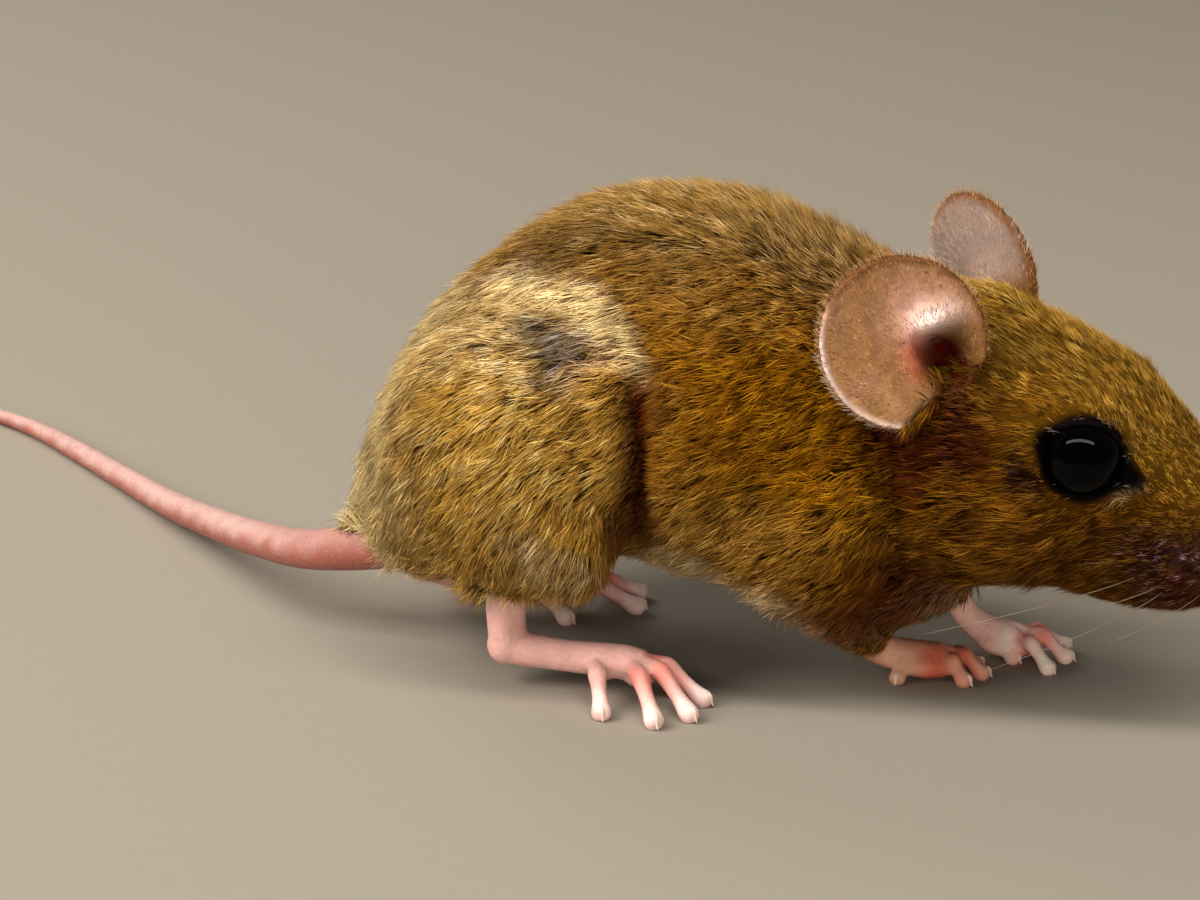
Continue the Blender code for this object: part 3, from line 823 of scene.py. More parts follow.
# ---- the lie of the coat, worked out at any point ------------------------------------------------
def lie_of(points):
    """The way the hair lies, its length and its lift in radians at each point."""
    way = np.zeros((len(points), 3))
    length, lift, total = np.zeros((3, len(points)))
    for table, at, in_the_head in ((BODY_LIE, points, False), (HEAD_LIE, to_head(points), True)):
        places, side = folded(at), np.where(at[:, 1] < 0, -1.0, 1.0)
        for place, lie, long, up in table:
            weight = 1.0 / (((places - np.array(place)) ** 2).sum(axis=1) + 2.0) ** 2
            lie = np.array(lie) / np.linalg.norm(lie)
            forward, side_way = np.full(len(points), lie[0]), lie[1] * side
            if in_the_head:
                forward, side_way = turned(forward, side_way)
            upward = np.full(len(points), lie[2])
            way += weight[:, None] * np.stack([forward, side_way, upward], axis=1)
            length += weight * long
            lift += weight * math.radians(up)
            total += weight
    return way, length / total, lift / total


# ---- markings, with painted shade and highlights -------------------------------------------------
# Each patch: colour, place, half sizes, strength. Places are forward, outward, up.
BODY_PATCHES = (
    ("haunch", (-6.0, 11.0, 17.0), (10.5, 9.0, 12.0), 1.0),
    ("back", (-13.5, 0.0, 27.0), (10.0, 8.0, 6.0), 0.9),
    ("umber", (-3.0, 5.0, 31.4), (10.0, 3.4, 2.0), 0.8),
    # painted highlight on the arc over the haunch
    ("cream", (-6.5, 10.0, 26.4), (5.0, 4.0, 3.0), 0.4),
    # painted shade between the haunch and the rump
    ("umber", (-10.4, 12.0, 14.0), (1.8, 4.0, 5.5), 0.45),
    # partly pale hair tips, partly painted rim light on the rear edge of the rump
    ("cream", (-16.4, 6.0, 17.0), (4.9, 9.0, 12.0), 0.95),
    ("cream", (-18.0, 1.0, 9.5), (4.0, 7.0, 5.0), 1.0),
    ("cream", (-11.5, 4.0, 26.0), (2.8, 5.0, 3.2), 0.5),
    ("belly", (-1.6, 13.0, 11.2), (3.2, 4.0, 2.2), 0.45),
    # painted shade in the crease between the flank and the haunch
    ("maroon", (4.9, 12.2, 20.0), (1.2, 3.4, 5.6), 0.9),
    ("maroon", (4.3, 11.0, 12.6), (1.6, 4.0, 4.4), 1.1),
    ("cream", (9.6, 8.0, 8.2), (5.4, 5.0, 2.4), 1.0),
    ("cream", (6.6, 9.0, 10.0), (2.8, 4.5, 1.7), 1.0),
    ("umber", (15.0, 3.0, 31.5), (9.0, 7.0, 4.0), 0.5),
    ("belly", (4.0, 0.0, 7.0), (20.0, 7.0, 3.4), 1.0),
    ("haunch", (11.0, 10.0, 13.4), (8.0, 5.0, 3.6), 0.32),
    # painted shade on the chest under the head
    ("maroon", (20.5, 6.0, 8.4), (5.5, 6.0, 5.0), 1.0),
)
HEAD_PATCHES = (
    ("olive", (12.0, 0.0, 27.0), (11.0, 10.0, 6.0), 0.95),
    ("olive", (20.0, 0.0, 22.0), (6.0, 6.0, 6.0), 0.9),
    # painted shade on the cheek and jaw
    ("cheek", (12.0, 8.0, 14.0), (9.0, 5.0, 5.4), 0.9),
    # partly dark hair, partly painted shade under and before the foot of the ear
    ("maroon", (5.0, 8.6, 20.3), (4.6, 4.0, 2.6), 1.3),
    ("maroon", (7.6, 8.0, 22.2), (2.8, 3.5, 2.8), 0.85),
    ("dusk", (12.5, 9.2, 20.1), (1.7, 3.4, 1.9), 1.2),
    # partly dark hair, partly painted shade before and under the foot of the ear
    ("maroon", (8.3, 8.4, 24.4), (2.2, 3.2, 2.9), 1.1),
    ("dusk", (8.3, 8.4, 24.4), (1.9, 3.2, 2.6), 0.55),
    ("dusk", (5.4, 8.6, 20.5), (4.4, 4.0, 2.4), 0.5),
    ("cream", (18.9, 5.8, 18.6), (1.9, 2.0, 0.6), 0.5),
    ("dusk", (22.2, 4.6, 13.5), (4.6, 4.0, 3.5), 1.05),
    ("maroon", (24.0, 2.6, 11.0), (4.0, 4.0, 1.6), 0.8),
)

# The painted highlight along the top of the haunch, and the fold of the haunch. Places are forward and
# up.
CREST_AT = (-0.9, 22.9)
CREST_FRONT, CREST_REAR, CREST_RISE = 6.2, 11.5, 7.0
CREST_RADIUS = 6.6  # turns shares of the arc's size into millimetres
CREST_OUTSIDE, CREST_INSIDE = 0.65, 1.4  # how far the ridge reaches on either side of the arc
FOLD_AT = (4.9, 20.0)  # its foremost point
FOLD_BOW = 0.012  # how much it bends back above and below that
FOLD_WIDTH = 1.2

# Where the coat parts just under the ridge of the haunch.
PARTING = (("slate", (-0.5, 10.8, 26.8), (2.5, 3.0, 2.6), 1.0),)


def mixed(first, second, weight):
    """The first of two colours with a share of the second, point by point."""
    return first * (1.0 - weight[:, None]) + second * weight[:, None]


def patched(colours, places, patches, palette, share):
    """Colours with a table of patches laid over them, each by its strength and the points' share."""
    for name, middle, half_sizes, strength in patches:
        weight = strength * patch(places, middle, half_sizes) * share
        colours = mixed(colours, palette[name], np.minimum(weight, 1.0))
    return colours


def coat_marking(points, palette, share=0.9):
    """The colour of the coat's mid band at each point; a hair takes its own share of each patch."""
    wander = points + 0.9 * ripples(points, 6.0, 11)
    places, head = folded(wander), folded(to_head(wander))
    top = steps(23.0, 34.0, places[:, 2] - 0.25 * places[:, 1])
    colours = mixed(palette["gold"], palette["back"], top)
    colours = patched(colours, places, BODY_PATCHES, palette, share)
    colours = patched(colours, head, HEAD_PATCHES, palette, share)
    for side in SIDES.values():
        away = points - eye_place(side)
        _, fore, up = (np.array(axis) for axis in gaze(side))
        turn = np.arctan2(away @ up, away @ fore)
        gap = np.linalg.norm(away, axis=1) - EYE_RADIUS
        gap = gap - 1.5 * corner(turn, LID_FRONT, 0.26) - 0.7 * corner(turn, LID_REAR, 0.30)
        colours = mixed(colours, palette["lid"], 1.0 - steps(0.35, 0.65, gap))
    from_pad = (((head - np.array((23.0, 4.4, 12.8))) / 3.6) ** 2).sum(axis=1)
    fleck = steps(0.3, 0.9, ripple(points, 0.8, 51)) * np.exp(-from_pad)
    colours = mixed(colours, palette["nose"], 0.6 * fleck)
    # the painted highlight along the haunch, and the grey patch under it, show fully on the right side
    # and at 0.45 of that on the left
    lit_side_share = share * np.where(points[:, 1] < 0.0, 1.0, 0.45)
    colours = patched(colours, places, PARTING, palette, lit_side_share)
    crest_highlight = haunch_highlight(points + 0.3 * (wander - points))
    colours = mixed(colours, palette["cream"], 0.95 * crest_highlight * lit_side_share)
    # painted shade in the fold between the flank and the haunch
    return mixed(colours, palette["maroon"], 0.85 * haunch_fold(points))


def corner(turn, at, spread):
    """How near a turn round the eye is to a corner of the lids, from 0 to 1."""
    apart = (turn - math.radians(at) + math.pi) % (2.0 * math.pi) - math.pi
    return np.exp(-((apart / spread) ** 2))


def haunch_highlight(points):
    """The painted highlight along the ridge of the haunch, from 0 to 1: an arc, shorter in front."""
    x, y, z = folded(points).T
    ahead, above = x - CREST_AT[0], z - CREST_AT[1]
    from_middle = np.hypot(ahead / np.where(ahead > 0.0, CREST_FRONT, CREST_REAR), above / CREST_RISE)
    ring = (from_middle - 1.0) * CREST_RADIUS
    ridge = np.exp(-((ring / np.where(ring > 0.0, CREST_OUTSIDE, CREST_INSIDE)) ** 2))
    return ridge * steps(-10.5, -2.0, x) * steps(23.5, 26.5, z) * steps(2.0, 5.0, y)


def haunch_fold(points):
    """Where the skin turns in between the flank and the haunch, from 0 to 1."""
    x, y, z = folded(points).T
    middle = FOLD_AT[0] - FOLD_BOW * (FOLD_AT[1] - z) ** 2
    across = np.exp(-(((x - middle) / FOLD_WIDTH) ** 2))
    return across * steps(7.0, 11.0, z) * (1.0 - steps(22.5, 26.5, z)) * steps(6.0, 10.0, y)


def palette_of(*groups):
    """All the colours among some settings, by name."""
    return {
        name: np.array(getattr(group, name))
        for group in groups
        for name in group.__annotations__
        if hasattr(getattr(group, name), "__len__")
    }


# ---- skin ----------------------------------------------------------------------------------------
class Regions:
    """The bare forms' points, to tell which part of the skin a point belongs to."""

    def __init__(self, forms):
        self.names = list(forms)
        points, self.parts = [], []
        for index, name in enumerate(self.names):
            for form in forms[name]:
                for vert in form.verts:
                    points.append(vert.co.copy())
                    self.parts.append(index)
        self.tree = tree_of(points)

    def nearest(self, points):
        """For each point, which part it is nearest to, and how far away that is."""
        found = [self.tree.find(point) for point in points]
        parts = np.array([self.parts[index] for _, index, _ in found])
        return parts, np.array([away for *_, away in found])


def flesh_form():
    """The furred solids, merged from loose triangles and swollen to close the clearances."""
    forms = []
    for name in FURRED:
        part = bmesh.new()
        part.from_mesh(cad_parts[name].data)
        bmesh.ops.remove_doubles(part, verts=part.verts, dist=1e-6)
        bmesh.ops.transform(part, matrix=TO_MAKER, verts=part.verts)
        part.normal_update()
        for vert in part.verts:
            vert.co += vert.normal * FLESH_SWELL
        forms.append(part)
    return joined(forms)


# Tints laid over the leaf of an ear, in this order: colour, strength, place and half sizes. Both are
# across and along the leaf, in shares of its half width and half length. A 1 marks what only the front
# shows.
EAR_TINTS = (
    ("pink", 0.8, (0.34, 0.20), (0.36, 0.34), 1),
    # painted highlight on the swelling over the canal
    ("pale", 1.1, (0.42, 0.10), (0.30, 0.17), 1),
    ("red", 0.8, (0.12, -0.30), (0.17, 0.30), 1),
    # these umber tints are partly dark fur, partly painted shade on the foot of the ear
    ("umber", 0.9, (0.05, -0.86), (0.50, 0.30), 1),
    ("umber", 0.6, (0.15, -0.66), (0.24, 0.22), 1),
    ("umber", 1.6, (0.82, -0.55), (0.34, 0.42), 0),
    ("umber", 1.1, (0.30, -0.86), (0.36, 0.16), 0),
    # the red of the canal deepened with painted shade
    ("canal", 2.2, (0.45, -0.48), (0.18, 0.28), 1),
)


def tail_colours(palette, at, facing):
    """A top to the tail paler where it faces up, as painted light from above, and a dark root."""
    # painted light: paler where the tail's surface faces up
    above = steps(-0.35, 0.75, facing[:, 2] + 0.15 * ripple(at, 3.0, 5))
    shade = mixed(palette["tail"], palette["tail_top"], 0.04 + 0.96 * above)
    return mixed(shade, palette["tail"], 0.55 * steps(-32.0, -17.0, at[:, 0]))


def foot_colours(palette, at, toes):
    """Pale toe tips, and red between the toes and low down."""
    roots = np.array([root[:2] for root, *_ in toes]).mean(axis=0)
    claws = [np.array(claw) for _, claw, *_ in toes]
    tip = np.min([np.linalg.norm(at[:, :2] - claw, axis=1) for claw in claws], axis=0)
    shade = mixed(palette["pink"], palette["pale"], 1.0 - steps(0.8, 2.6, tip))
    web = np.zeros(len(at))
    for near, far in zip(claws, claws[1:]):
        crotch = roots + 0.55 * (0.5 * (near + far) - roots)
        away = np.linalg.norm(at[:, :2] - crotch, axis=1)
        web = np.maximum(web, np.exp(-((away / 1.1) ** 2)))
    low = 1.0 - steps(0.3, 1.5, at[:, 2])
    return mixed(shade, palette["red"], np.clip(0.75 * web + 0.2 * low, 0, 0.85))


def ear_colours(palette, at, facing, which, side):
    """The freckled leaf, its darker back, the canal deepened with painted shade, a painted highlight on
    the swelling over the canal, painted shade on the foot of the leaf, and a rim pale behind and dark
    in front.
    """
    across, _, along = in_ear(which, side, at)
    out = np.array(ear_tilt(which) @ Vector((0.0, -1.0, 0.0)))
    out[1] *= -side
    front = steps(-0.1, 0.4, facing @ np.array([*turned(out[0], out[1]), out[2]]))
    freckles = 0.9 + 0.26 * ripple(at, 1.0, 43) + 0.16 * ripple(at, 0.4, 44)
    shade = mixed(palette["ear"] * freckles[:, None], palette["ear_back"], 1.0 - front)
    speck = steps(0.1, 0.9, ripple(at, 0.7, 41)) * steps(-0.4, 0.8, ripple(at, 3.0, 42))
    shade = mixed(shade, palette["pink"], 0.3 * speck * front)
    for name, strength, middle, half_sizes, front_only in EAR_TINTS:
        share = strength * hill(across, along, middle, half_sizes, np.exp)
        share = share * front if front_only else share
        shade = mixed(shade, palette[name], np.clip(share, 0.0, 1.0))
    rim = steps(0.9, 0.98, np.hypot(across, along))
    shade = mixed(shade, palette["pale"], 0.75 * rim * steps(0.1, 0.7, -across * 0.85 - along * 0.5))
    fore_rim = rim * steps(-0.2, 0.35, across * 0.7 + along * 0.6)
    shade = mixed(shade, palette["umber"], fore_rim)
    return mixed(shade, palette["maroon"], 0.5 * fore_rim)


def bare_colours(region, names, points, normals, palette, colours):
    """Paints the feet, tail, ears, nose and lids."""
    for index, name in enumerate(names):
        here = region == index
        if not here.any():
            continue
        at, facing = points[here], normals[here]
        part, _, which = name.partition("_")
        side = SIDES.get(which, 1)
        if part == "tail":
            shade = tail_colours(palette, at, facing)
        elif part in ("hind", "fore"):
            toes = hind_toes(which, side) if part == "hind" else front_toes(which, side)
            # painted shade on the right forefoot and painted light on the left one
            shade = foot_colours(palette, at, toes) * np.array(FOOT_PAINTED_LIGHT.get(name, (1.0, 1.0, 1.0)))
        elif part == "ear":
            shade = ear_colours(palette, at, facing, which, side)
        else:
            shade = palette["nose" if part == "nose" else "lid"]
        mottle = 0.5 + 0.5 * ripple(at, 1.6, 31)
        colours[here] = shade * (0.93 + 0.12 * mottle[:, None])
    return colours


def smoothed(mesh, values, rounds):
    """Values at the points averaged with their neighbours'."""
    edges = np.empty(len(mesh.edges) * 2, np.int32)
    mesh.edges.foreach_get("vertices", edges)
    first, second = edges.reshape(-1, 2).T
    size = len(values)
    count = np.bincount(first, minlength=size) + np.bincount(second, minlength=size)
    for _ in range(rounds):
        total = np.bincount(first, values[second], size) + np.bincount(second, values[first], size)
        values = 0.5 * values + 0.5 * total / np.maximum(count, 1)
    return values


def face_folds(points, normals):
    """Nostrils, the cleft between them and the line of the mouth, pressed into the snout."""
    fore, side, up = folded(to_head(points)).T
    nostril = -(((fore - 27.0) / 0.7) ** 2) - ((side - 0.95) / 0.36) ** 2 - ((up - 15.2) / 0.42) ** 2
    cleft = np.exp(-((side / 0.22) ** 2)) * steps(25.3, 26.3, fore) * (1.0 - steps(14.6, 15.6, up))
    line = 11.6 - 0.10 * (27.0 - fore) - 0.02 * (27.0 - fore) ** 2
    mouth = np.exp(-(((up - line) / 0.3) ** 2)) * steps(19.5, 21.5, fore)
    return points - normals * (0.75 * np.exp(nostril) + 0.3 * cleft + 0.5 * mouth)[:, None]


class MOUSE_OT_skin(bpy.types.Operator):
    """One skin over the whole mouse, lying under the coat by the coat's depth"""

    bl_idname = "mouse.skin"
    bl_label = "Skin"

    def execute(self, context):
        settings, coat = context.scene.mouse_skin, context.scene.mouse_coat
        palette = palette_of(settings, coat)
        forms = bare_forms()
        regions = Regions(forms)
        flesh = melted(new_object("flesh", flesh_form()), FLESH_GRAIN, 4)
        self.sink(flesh.data, regions, settings.depth)
        furred = bmesh.new()
        furred.from_mesh(flesh.data)
        furred_tree = tree_of([vert.co for vert in flesh.data.vertices])
        bpy.data.objects.remove(flesh)
        bare = [form for group in forms.values() for form in group]
        skin = new_object("skin", joined([furred, *bare]))
        melted(skin, settings.grain * 1000.0, 3)
        self.stand(skin.data)
        thinned(skin, settings.faces)
        points = face_folds(points_of(skin.data), normals_of(skin.data))
        put_points(skin.data, points)
        normals = normals_of(skin.data)
        region, away = regions.nearest(points)
        inside = np.array([furred_tree.find(point)[2] for point in points])
        region[(inside < away) & ~in_the_bowl(points)] = -1
        colours = coat_marking(points, palette) * SKIN_SHADE
        colours = bare_colours(region, regions.names, points, normals, palette, colours)
        for k in range(3):
            colours[:, k] = smoothed(skin.data, colours[:, k], 2)
        put_colour(skin.data, "marking", colours)
        put_value(skin.data, "region", region)
        tail = region == regions.names.index("tail")
        put_value(skin.data, "tail_run", tail_runs(points, tail))
        dull = (region < 0).astype(float)
        for index, name in enumerate(regions.names):
            dull[region == index] = DULL.get(name.partition("_")[0], 0.0)
        for name, share in (("bare", region >= 0), ("dull", dull), ("on_tail", tail)):
            put_value(skin.data, name, smoothed(skin.data, share.astype(float), 2))
        finished(skin, skin_material(), FLESH)
        return {"FINISHED"}

    def sink(self, mesh, regions, share):
        """Lowers the flesh by the depth of the coat, and more in the fold and at the hock."""
        points, normals = points_of(mesh), normals_of(mesh)
        _, away = regions.nearest(points)
        _, length, lift = lie_of(points)
        height = length * (0.08 + 0.72 * np.sin(lift))
        depth = smoothed(mesh, share * height * steps(0.5, 2.4, away), 6)
        hock = patch(folded(points), (-6.8, 7.5, 6.6), (3.2, 5.0, 2.6))
        depth += 1.1 * haunch_fold(points) + 1.7 * hock
        put_points(mesh, points - normals * depth[:, None])

    def stand(self, mesh):
        """Flattens what reaches under the floor."""
        bm = bmesh.new()
        bm.from_mesh(mesh)
        bmesh.ops.bisect_plane(
            bm, geom=bm.verts[:] + bm.edges[:] + bm.faces[:], dist=0.001,
            plane_co=(0.0, 0.0, FLOOR_GAP), plane_no=(0.0, 0.0, -1.0), clear_outer=False,
        )  # fmt: skip
        for vert in bm.verts:
            vert.co.z = max(vert.co.z, FLOOR_GAP)
        bm.to_mesh(mesh)
        bm.free()


def tail_runs(points, tail):
    """How far along the tail each of its points is, and 0 off it."""
    line = np.array([blended(TAIL_PATH, n / 400)[:3] for n in range(401)])
    run = np.concatenate([[0.0], np.cumsum(np.linalg.norm(np.diff(line, axis=0), axis=1))])
    along = np.zeros(len(points))
    for some in np.array_split(np.flatnonzero(tail), 8):
        along[some] = run[((points[some, None] - line[None]) ** 2).sum(axis=2).argmin(axis=1)]
    return along


def skin_material():
    plan = Plan(
        "bare and furred skin",
        Subsurface_Weight=0.12, Subsurface_Scale=0.001, Specular_IOR_Level=0.03, Coat_Roughness=0.5,
    )  # fmt: skip
    marking = plan.attribute("marking", "Color")
    speckle = plan.noise(2400.0, 3.0)
    plan.paint(plan.mix(speckle * 0.35, marking, (0.3, 0.12, 0.09), "MULTIPLY"))
    dull = plan.attribute("dull")
    roughness = 0.78 - plan.attribute("bare") * 0.28 + dull * 0.2
    plan.feed(plan.shader.inputs["Roughness"], roughness.clamped())
    plan.feed(plan.shader.inputs["Coat Weight"], (1.0 - dull) * 0.84)
    rings = (plan.attribute("tail_run") * (2.0 * math.pi / 0.55)).sine() * plan.attribute("on_tail")
    wrinkles = plan.noise(2600.0, 4.0) * 1.4
    plan.bump(rings * 0.35 + wrinkles, 0.00008, 0.6)
    return plan.material


# ---- eyes ----------------------------------------------------------------------------------------
class MOUSE_OT_eyes(bpy.types.Operator):
    """Two round black eyes, set as deep as the solids have them"""

    bl_idname = "mouse.eyes"
    bl_label = "Eyes"

    def execute(self, context):
        plan = Plan("black eye", Roughness=0.05, IOR=1.3, Specular_IOR_Level=0.16)
        plan.paint(plan.mix(plan.noise(600.0), (0.0002, 0.0002, 0.0003), (0.0006, 0.0005, 0.0005)))
        for which, side in SIDES.items():
            eye = new_object(f"eyeball_{which}", ball(eye_place(side), [EYE_RADIUS] * 3, 64, 40))
            finished(eye, plan.material, [f"eye_{which}"])
        return {"FINISHED"}


# ---- claws ---------------------------------------------------------------------------------------
class MOUSE_OT_claws(bpy.types.Operator):
    """A small curved claw at the end of each toe"""

    bl_idname = "mouse.claws"
    bl_label = "Claws"

    def execute(self, context):
        plan = Plan("claw horn", Roughness=0.3, Coat_Weight=0.2)
        plan.paint(plan.mix(plan.noise(900.0), (0.66, 0.46, 0.36), (0.78, 0.60, 0.50)))
        forms = []
        for which, side in SIDES.items():
            for root, claw, _, radius in hind_toes(which, side) + front_toes(which, side):
                ahead, pad = toe_pad(root, claw, radius)
                end = Vector((*claw[:2], 0.0))
                path = (
                    (*(pad + ahead * radius * 0.7 + UP * radius * 0.62), 0.17),
                    (*(pad + ahead * radius * 1.1 + UP * radius * 0.56), 0.16),
                    (*(end - ahead * 0.15 + UP * 0.42), 0.11),
                    (*(end + ahead * 0.02 + UP * 0.18), 0.025),
                )
                forms.append(tube(path, 9, 8))
        finished(new_object("claws", joined(forms)), plan.material)
        return {"FINISHED"}


# ---- coat ----------------------------------------------------------------------------------------
def hair_form(bend):
    """One hair: a three-sided spindle, widest where it bends, or a plain spike when it has no bend."""
    bm = bmesh.new()
    bmesh.ops.create_circle(bm, cap_ends=not bend, segments=3, radius=1.0)
    bmesh.ops.translate(bm, vec=(0.0, 0.0, bend), verts=bm.verts)
    rim = bm.edges[:]
    for end in (1.0, 0.0) if bend else (1.0,):
        grown = bmesh.ops.extrude_edge_only(bm, edges=rim)["geom"]
        ring = [part for part in grown if isinstance(part, bmesh.types.BMVert)]
        bmesh.ops.pointmerge(bm, verts=ring, merge_co=(0.0, 0.0, end))
    bmesh.ops.recalc_face_normals(bm, faces=bm.faces)
    bm.verts.index_update()
    points = np.array([vert.co for vert in bm.verts])
    triangles = np.array([[vert.index for vert in face.verts] for face in bm.faces])
    bm.free()
    turn = (np.arctan2(points[:, 1], points[:, 0]) / (2.0 * math.pi)) % 1.0
    flat = np.zeros((len(triangles), 3, 2))
    for n, corners in enumerate(triangles):
        if np.ptp(points[corners, 2]) < 1e-6:
            flat[n] = 0.05 + 0.04 * points[corners, :2]
            continue
        turns = turn[corners].copy()
        tips = np.hypot(points[corners, 0], points[corners, 1]) < 1e-6
        real = turns[~tips]
        turns[~tips] = np.where(real - real.min() > 0.5, real - 1.0, real)
        turns[tips] = turns[~tips].mean()
        flat[n, :, 0] = (turns + 0.4) / 1.4
        flat[n, :, 1] = 0.1 + 0.9 * points[corners, 2]
    return points, triangles, flat


def planted(rng, base, weight, count):
    """Roots spread over a base skin: place, normal and place on its unwrap."""
    mesh = base.data
    mesh.calc_loop_triangles()
    corners, loops = np.empty((2, len(mesh.loop_triangles) * 3), np.int32)
    mesh.loop_triangles.foreach_get("vertices", corners)
    mesh.loop_triangles.foreach_get("loops", loops)
    corners, loops = corners.reshape(-1, 3), loops.reshape(-1, 3)
    points, normals = points_of(mesh), normals_of(mesh)
    flat = np.empty(len(mesh.loops) * 2, np.float32)
    mesh.uv_layers[0].data.foreach_get("uv", flat)
    flat = flat.reshape(-1, 2)
    edge_one = points[corners[:, 1]] - points[corners[:, 0]]
    edge_two = points[corners[:, 2]] - points[corners[:, 0]]
    area = 0.5 * np.linalg.norm(np.cross(edge_one, edge_two), axis=1)
    chance = area * weight[corners].mean(axis=1)
    face = rng.choice(len(corners), size=count, p=chance / chance.sum())
    u, v = rng.random(count), rng.random(count)
    over = u + v > 1.0
    u[over], v[over] = 1.0 - u[over], 1.0 - v[over]
    share = np.stack([1.0 - u - v, u, v], axis=1)[:, :, None]
    place = (points[corners[face]] * share).sum(axis=1)
    normal = unit((normals[corners[face]] * share).sum(axis=1))
    return place, normal, (flat[loops[face]] * share).sum(axis=1)


def flat_way(way, normal):
    """Ways along the surface that has these normals."""
    return unit(way - normal * (way * normal).sum(axis=1, keepdims=True))


def raised(way, normal, lift):
    """Ways along a surface turned up from it by an angle."""
    return way * np.cos(lift)[:, None] + normal * np.sin(lift)[:, None]


def hair_mesh(name, bend, place, normal, way, length, lifts, width, root_flat, values):
    """Hairs from their roots, each with its lift before and after the share where it bends."""
    points, triangles, flat = hair_form(bend)
    count = len(place)
    way = flat_way(way, normal)
    across = np.cross(normal, way)
    middle = place + bend * length[:, None] * raised(way, normal, lifts[0])
    end = middle + (1.0 - bend) * length[:, None] * raised(way, normal, lifts[1])
    root = place - HAIR_SINK * normal
    made = np.empty((count, len(points), 3))
    for k, (x, y, z) in enumerate(points):
        centre = end if z > 0.999 else middle if z > 0.001 else root
        made[:, k] = centre + (across * x + normal * y * HAIR_DEPTH) * (0.5 * width)[:, None]
    made[:, :, 2] = np.maximum(made[:, :, 2], HAIR_FLOOR)
    mesh = bpy.data.meshes.new(name)
    mesh.vertices.add(count * len(points))
    mesh.vertices.foreach_set("co", made.astype(np.float32).ravel())
    faces = (triangles[None] + (np.arange(count) * len(points))[:, None, None]).reshape(-1, 3)
    mesh.loops.add(faces.size)
    mesh.loops.foreach_set("vertex_index", faces.astype(np.int32).ravel())
    mesh.polygons.add(len(faces))
    mesh.polygons.foreach_set("loop_start", np.arange(0, faces.size, 3, dtype=np.int32))
    mesh.update(calc_edges=True)
    layer = mesh.uv_layers.new(name="OFBake")
    spots = root_flat[:, None, None, :] + (flat[None] - 0.5) * BAKE_PATCH
    layer.data.foreach_set("uv", spots.astype(np.float32).ravel())
    for key, value in values.items():
        put = put_colour if value.ndim == 2 else put_value
        put(mesh, key, np.repeat(value, len(points), axis=0))
    put_value(mesh, "run", np.tile(points[:, 2], count))
    return linked(name, mesh)


def unwrapped_base():
    """A light copy of the skin in the maker's frame, unwrapped, to plant roots on."""
    skin = bpy.data.objects["skin"]
    base = linked("base", skin.data.copy())
    base.data.transform(TO_MAKER)
    thinned(base, BASE_FACES)
    bpy.context.view_layer.objects.active = base
    base.select_set(True)
    bpy.ops.object.mode_set(mode="EDIT")
    bpy.ops.mesh.select_all(action="SELECT")
    bpy.ops.uv.smart_project(angle_limit=math.radians(66.0), island_margin=0.002)
    bpy.ops.object.mode_set(mode="OBJECT")
    return base


def value_of(mesh, name):
    """The numbers that an attribute of the mesh holds."""
    values = np.empty(len(mesh.vertices), np.float32)
    mesh.attributes[name].data.foreach_get("value", values)
    return values


def coat_pieces(points):
    """The share of the hair that each piece of the coat holds at each point."""
    ahead = to_head(points)[:, 0]
    face = steps(8.0, 9.0, ahead)
    skull = steps(0.0, 1.0, ahead) * (1.0 - face)
    rest = 1.0 - face - skull
    fore = steps(12.0, 13.0, points[:, 0])
    back = steps(25.0, 26.0, points[:, 2])
    right = (points[:, 1] < 0).astype(float)
    rear = 1.0 - steps(-9.0, -8.0, points[:, 0])
    flank = rest * (1.0 - fore) * (1.0 - back)
    return {
        "coat_face": face,
        "coat_crown": skull,
        "coat_shoulders": rest * fore,
        "coat_back": rest * (1.0 - fore) * back,
        "coat_right": flank * right * (1.0 - rear),
        "coat_left": flank * (1.0 - right) * (1.0 - rear),
        "coat_rump": rest * (1.0 - back) * rear,
    }


def coat_material(name):
    """Ticked hair: a dark root, a warm band, and here and there a dark or a pale tip.

    The colours in it are shares of the marking, and the last one is the palest that a hair may be.
    """
    plan = Plan(name, Roughness=0.6, Specular_IOR_Level=0.13)
    run, chance = plan.attribute("run"), plan.attribute("chance")
    marking = plan.attribute("marking", "Color")
    root = plan.mix(1.0, marking, (0.20, 0.15, 0.13), "MULTIPLY")
    band = plan.ramp(run, (0.30, 0.0), (0.58, 0.6), (0.82, 1.0))
    body = plan.mix(band, root, marking)
    guard = plan.mix(1.0, marking, (0.48, 0.41, 0.35), "MULTIPLY")
    dark = plan.ramp(chance, (0.0, 0.0), (0.74, 0.0), (0.84, 1.0))
    body = plan.mix(dark * run, body, guard)
    bright = plan.ramp(chance, (0.0, 1.0), (0.22, 1.0), (0.33, 0.0))
    lit = plan.mix(1.0, marking, (2.1, 2.6, 5.5), "MULTIPLY")
    lit = plan.mix(1.0, lit, (1.1, 0.90, 0.50), "DARKEN")
    body = plan.mix(bright * band * 0.7, body, lit)
    plan.paint(plan.scaled(body, plan.attribute("tone") * 1.15 + 0.42))
    plan.feed(plan.shader.inputs["Roughness"], chance * 0.2 + 0.5)
    return plan.material


def round_eyes(place, way, length):
    """Turns hair that grows near an eye round it, and shortens it there."""
    for side in SIDES.values():
        away = place - eye_place(side)
        gap = np.linalg.norm(away, axis=1) - EYE_RADIUS
        near = 1.0 - steps(0.2, 2.6, gap)
        way = way + 0.7 * near[:, None] * unit(away)
        length = length * (1.0 - 0.45 * (1.0 - steps(0.1, 1.8, gap)))
    return way, length


def clear_of_eyes(*spots):
    """Which hairs have all of their spots outside the eyes."""
    clear = np.ones(len(spots[0]), bool)
    for side in SIDES.values():
        for some in spots:
            clear &= np.linalg.norm(some - eye_place(side), axis=1) > EYE_RADIUS + 0.06
    return clear


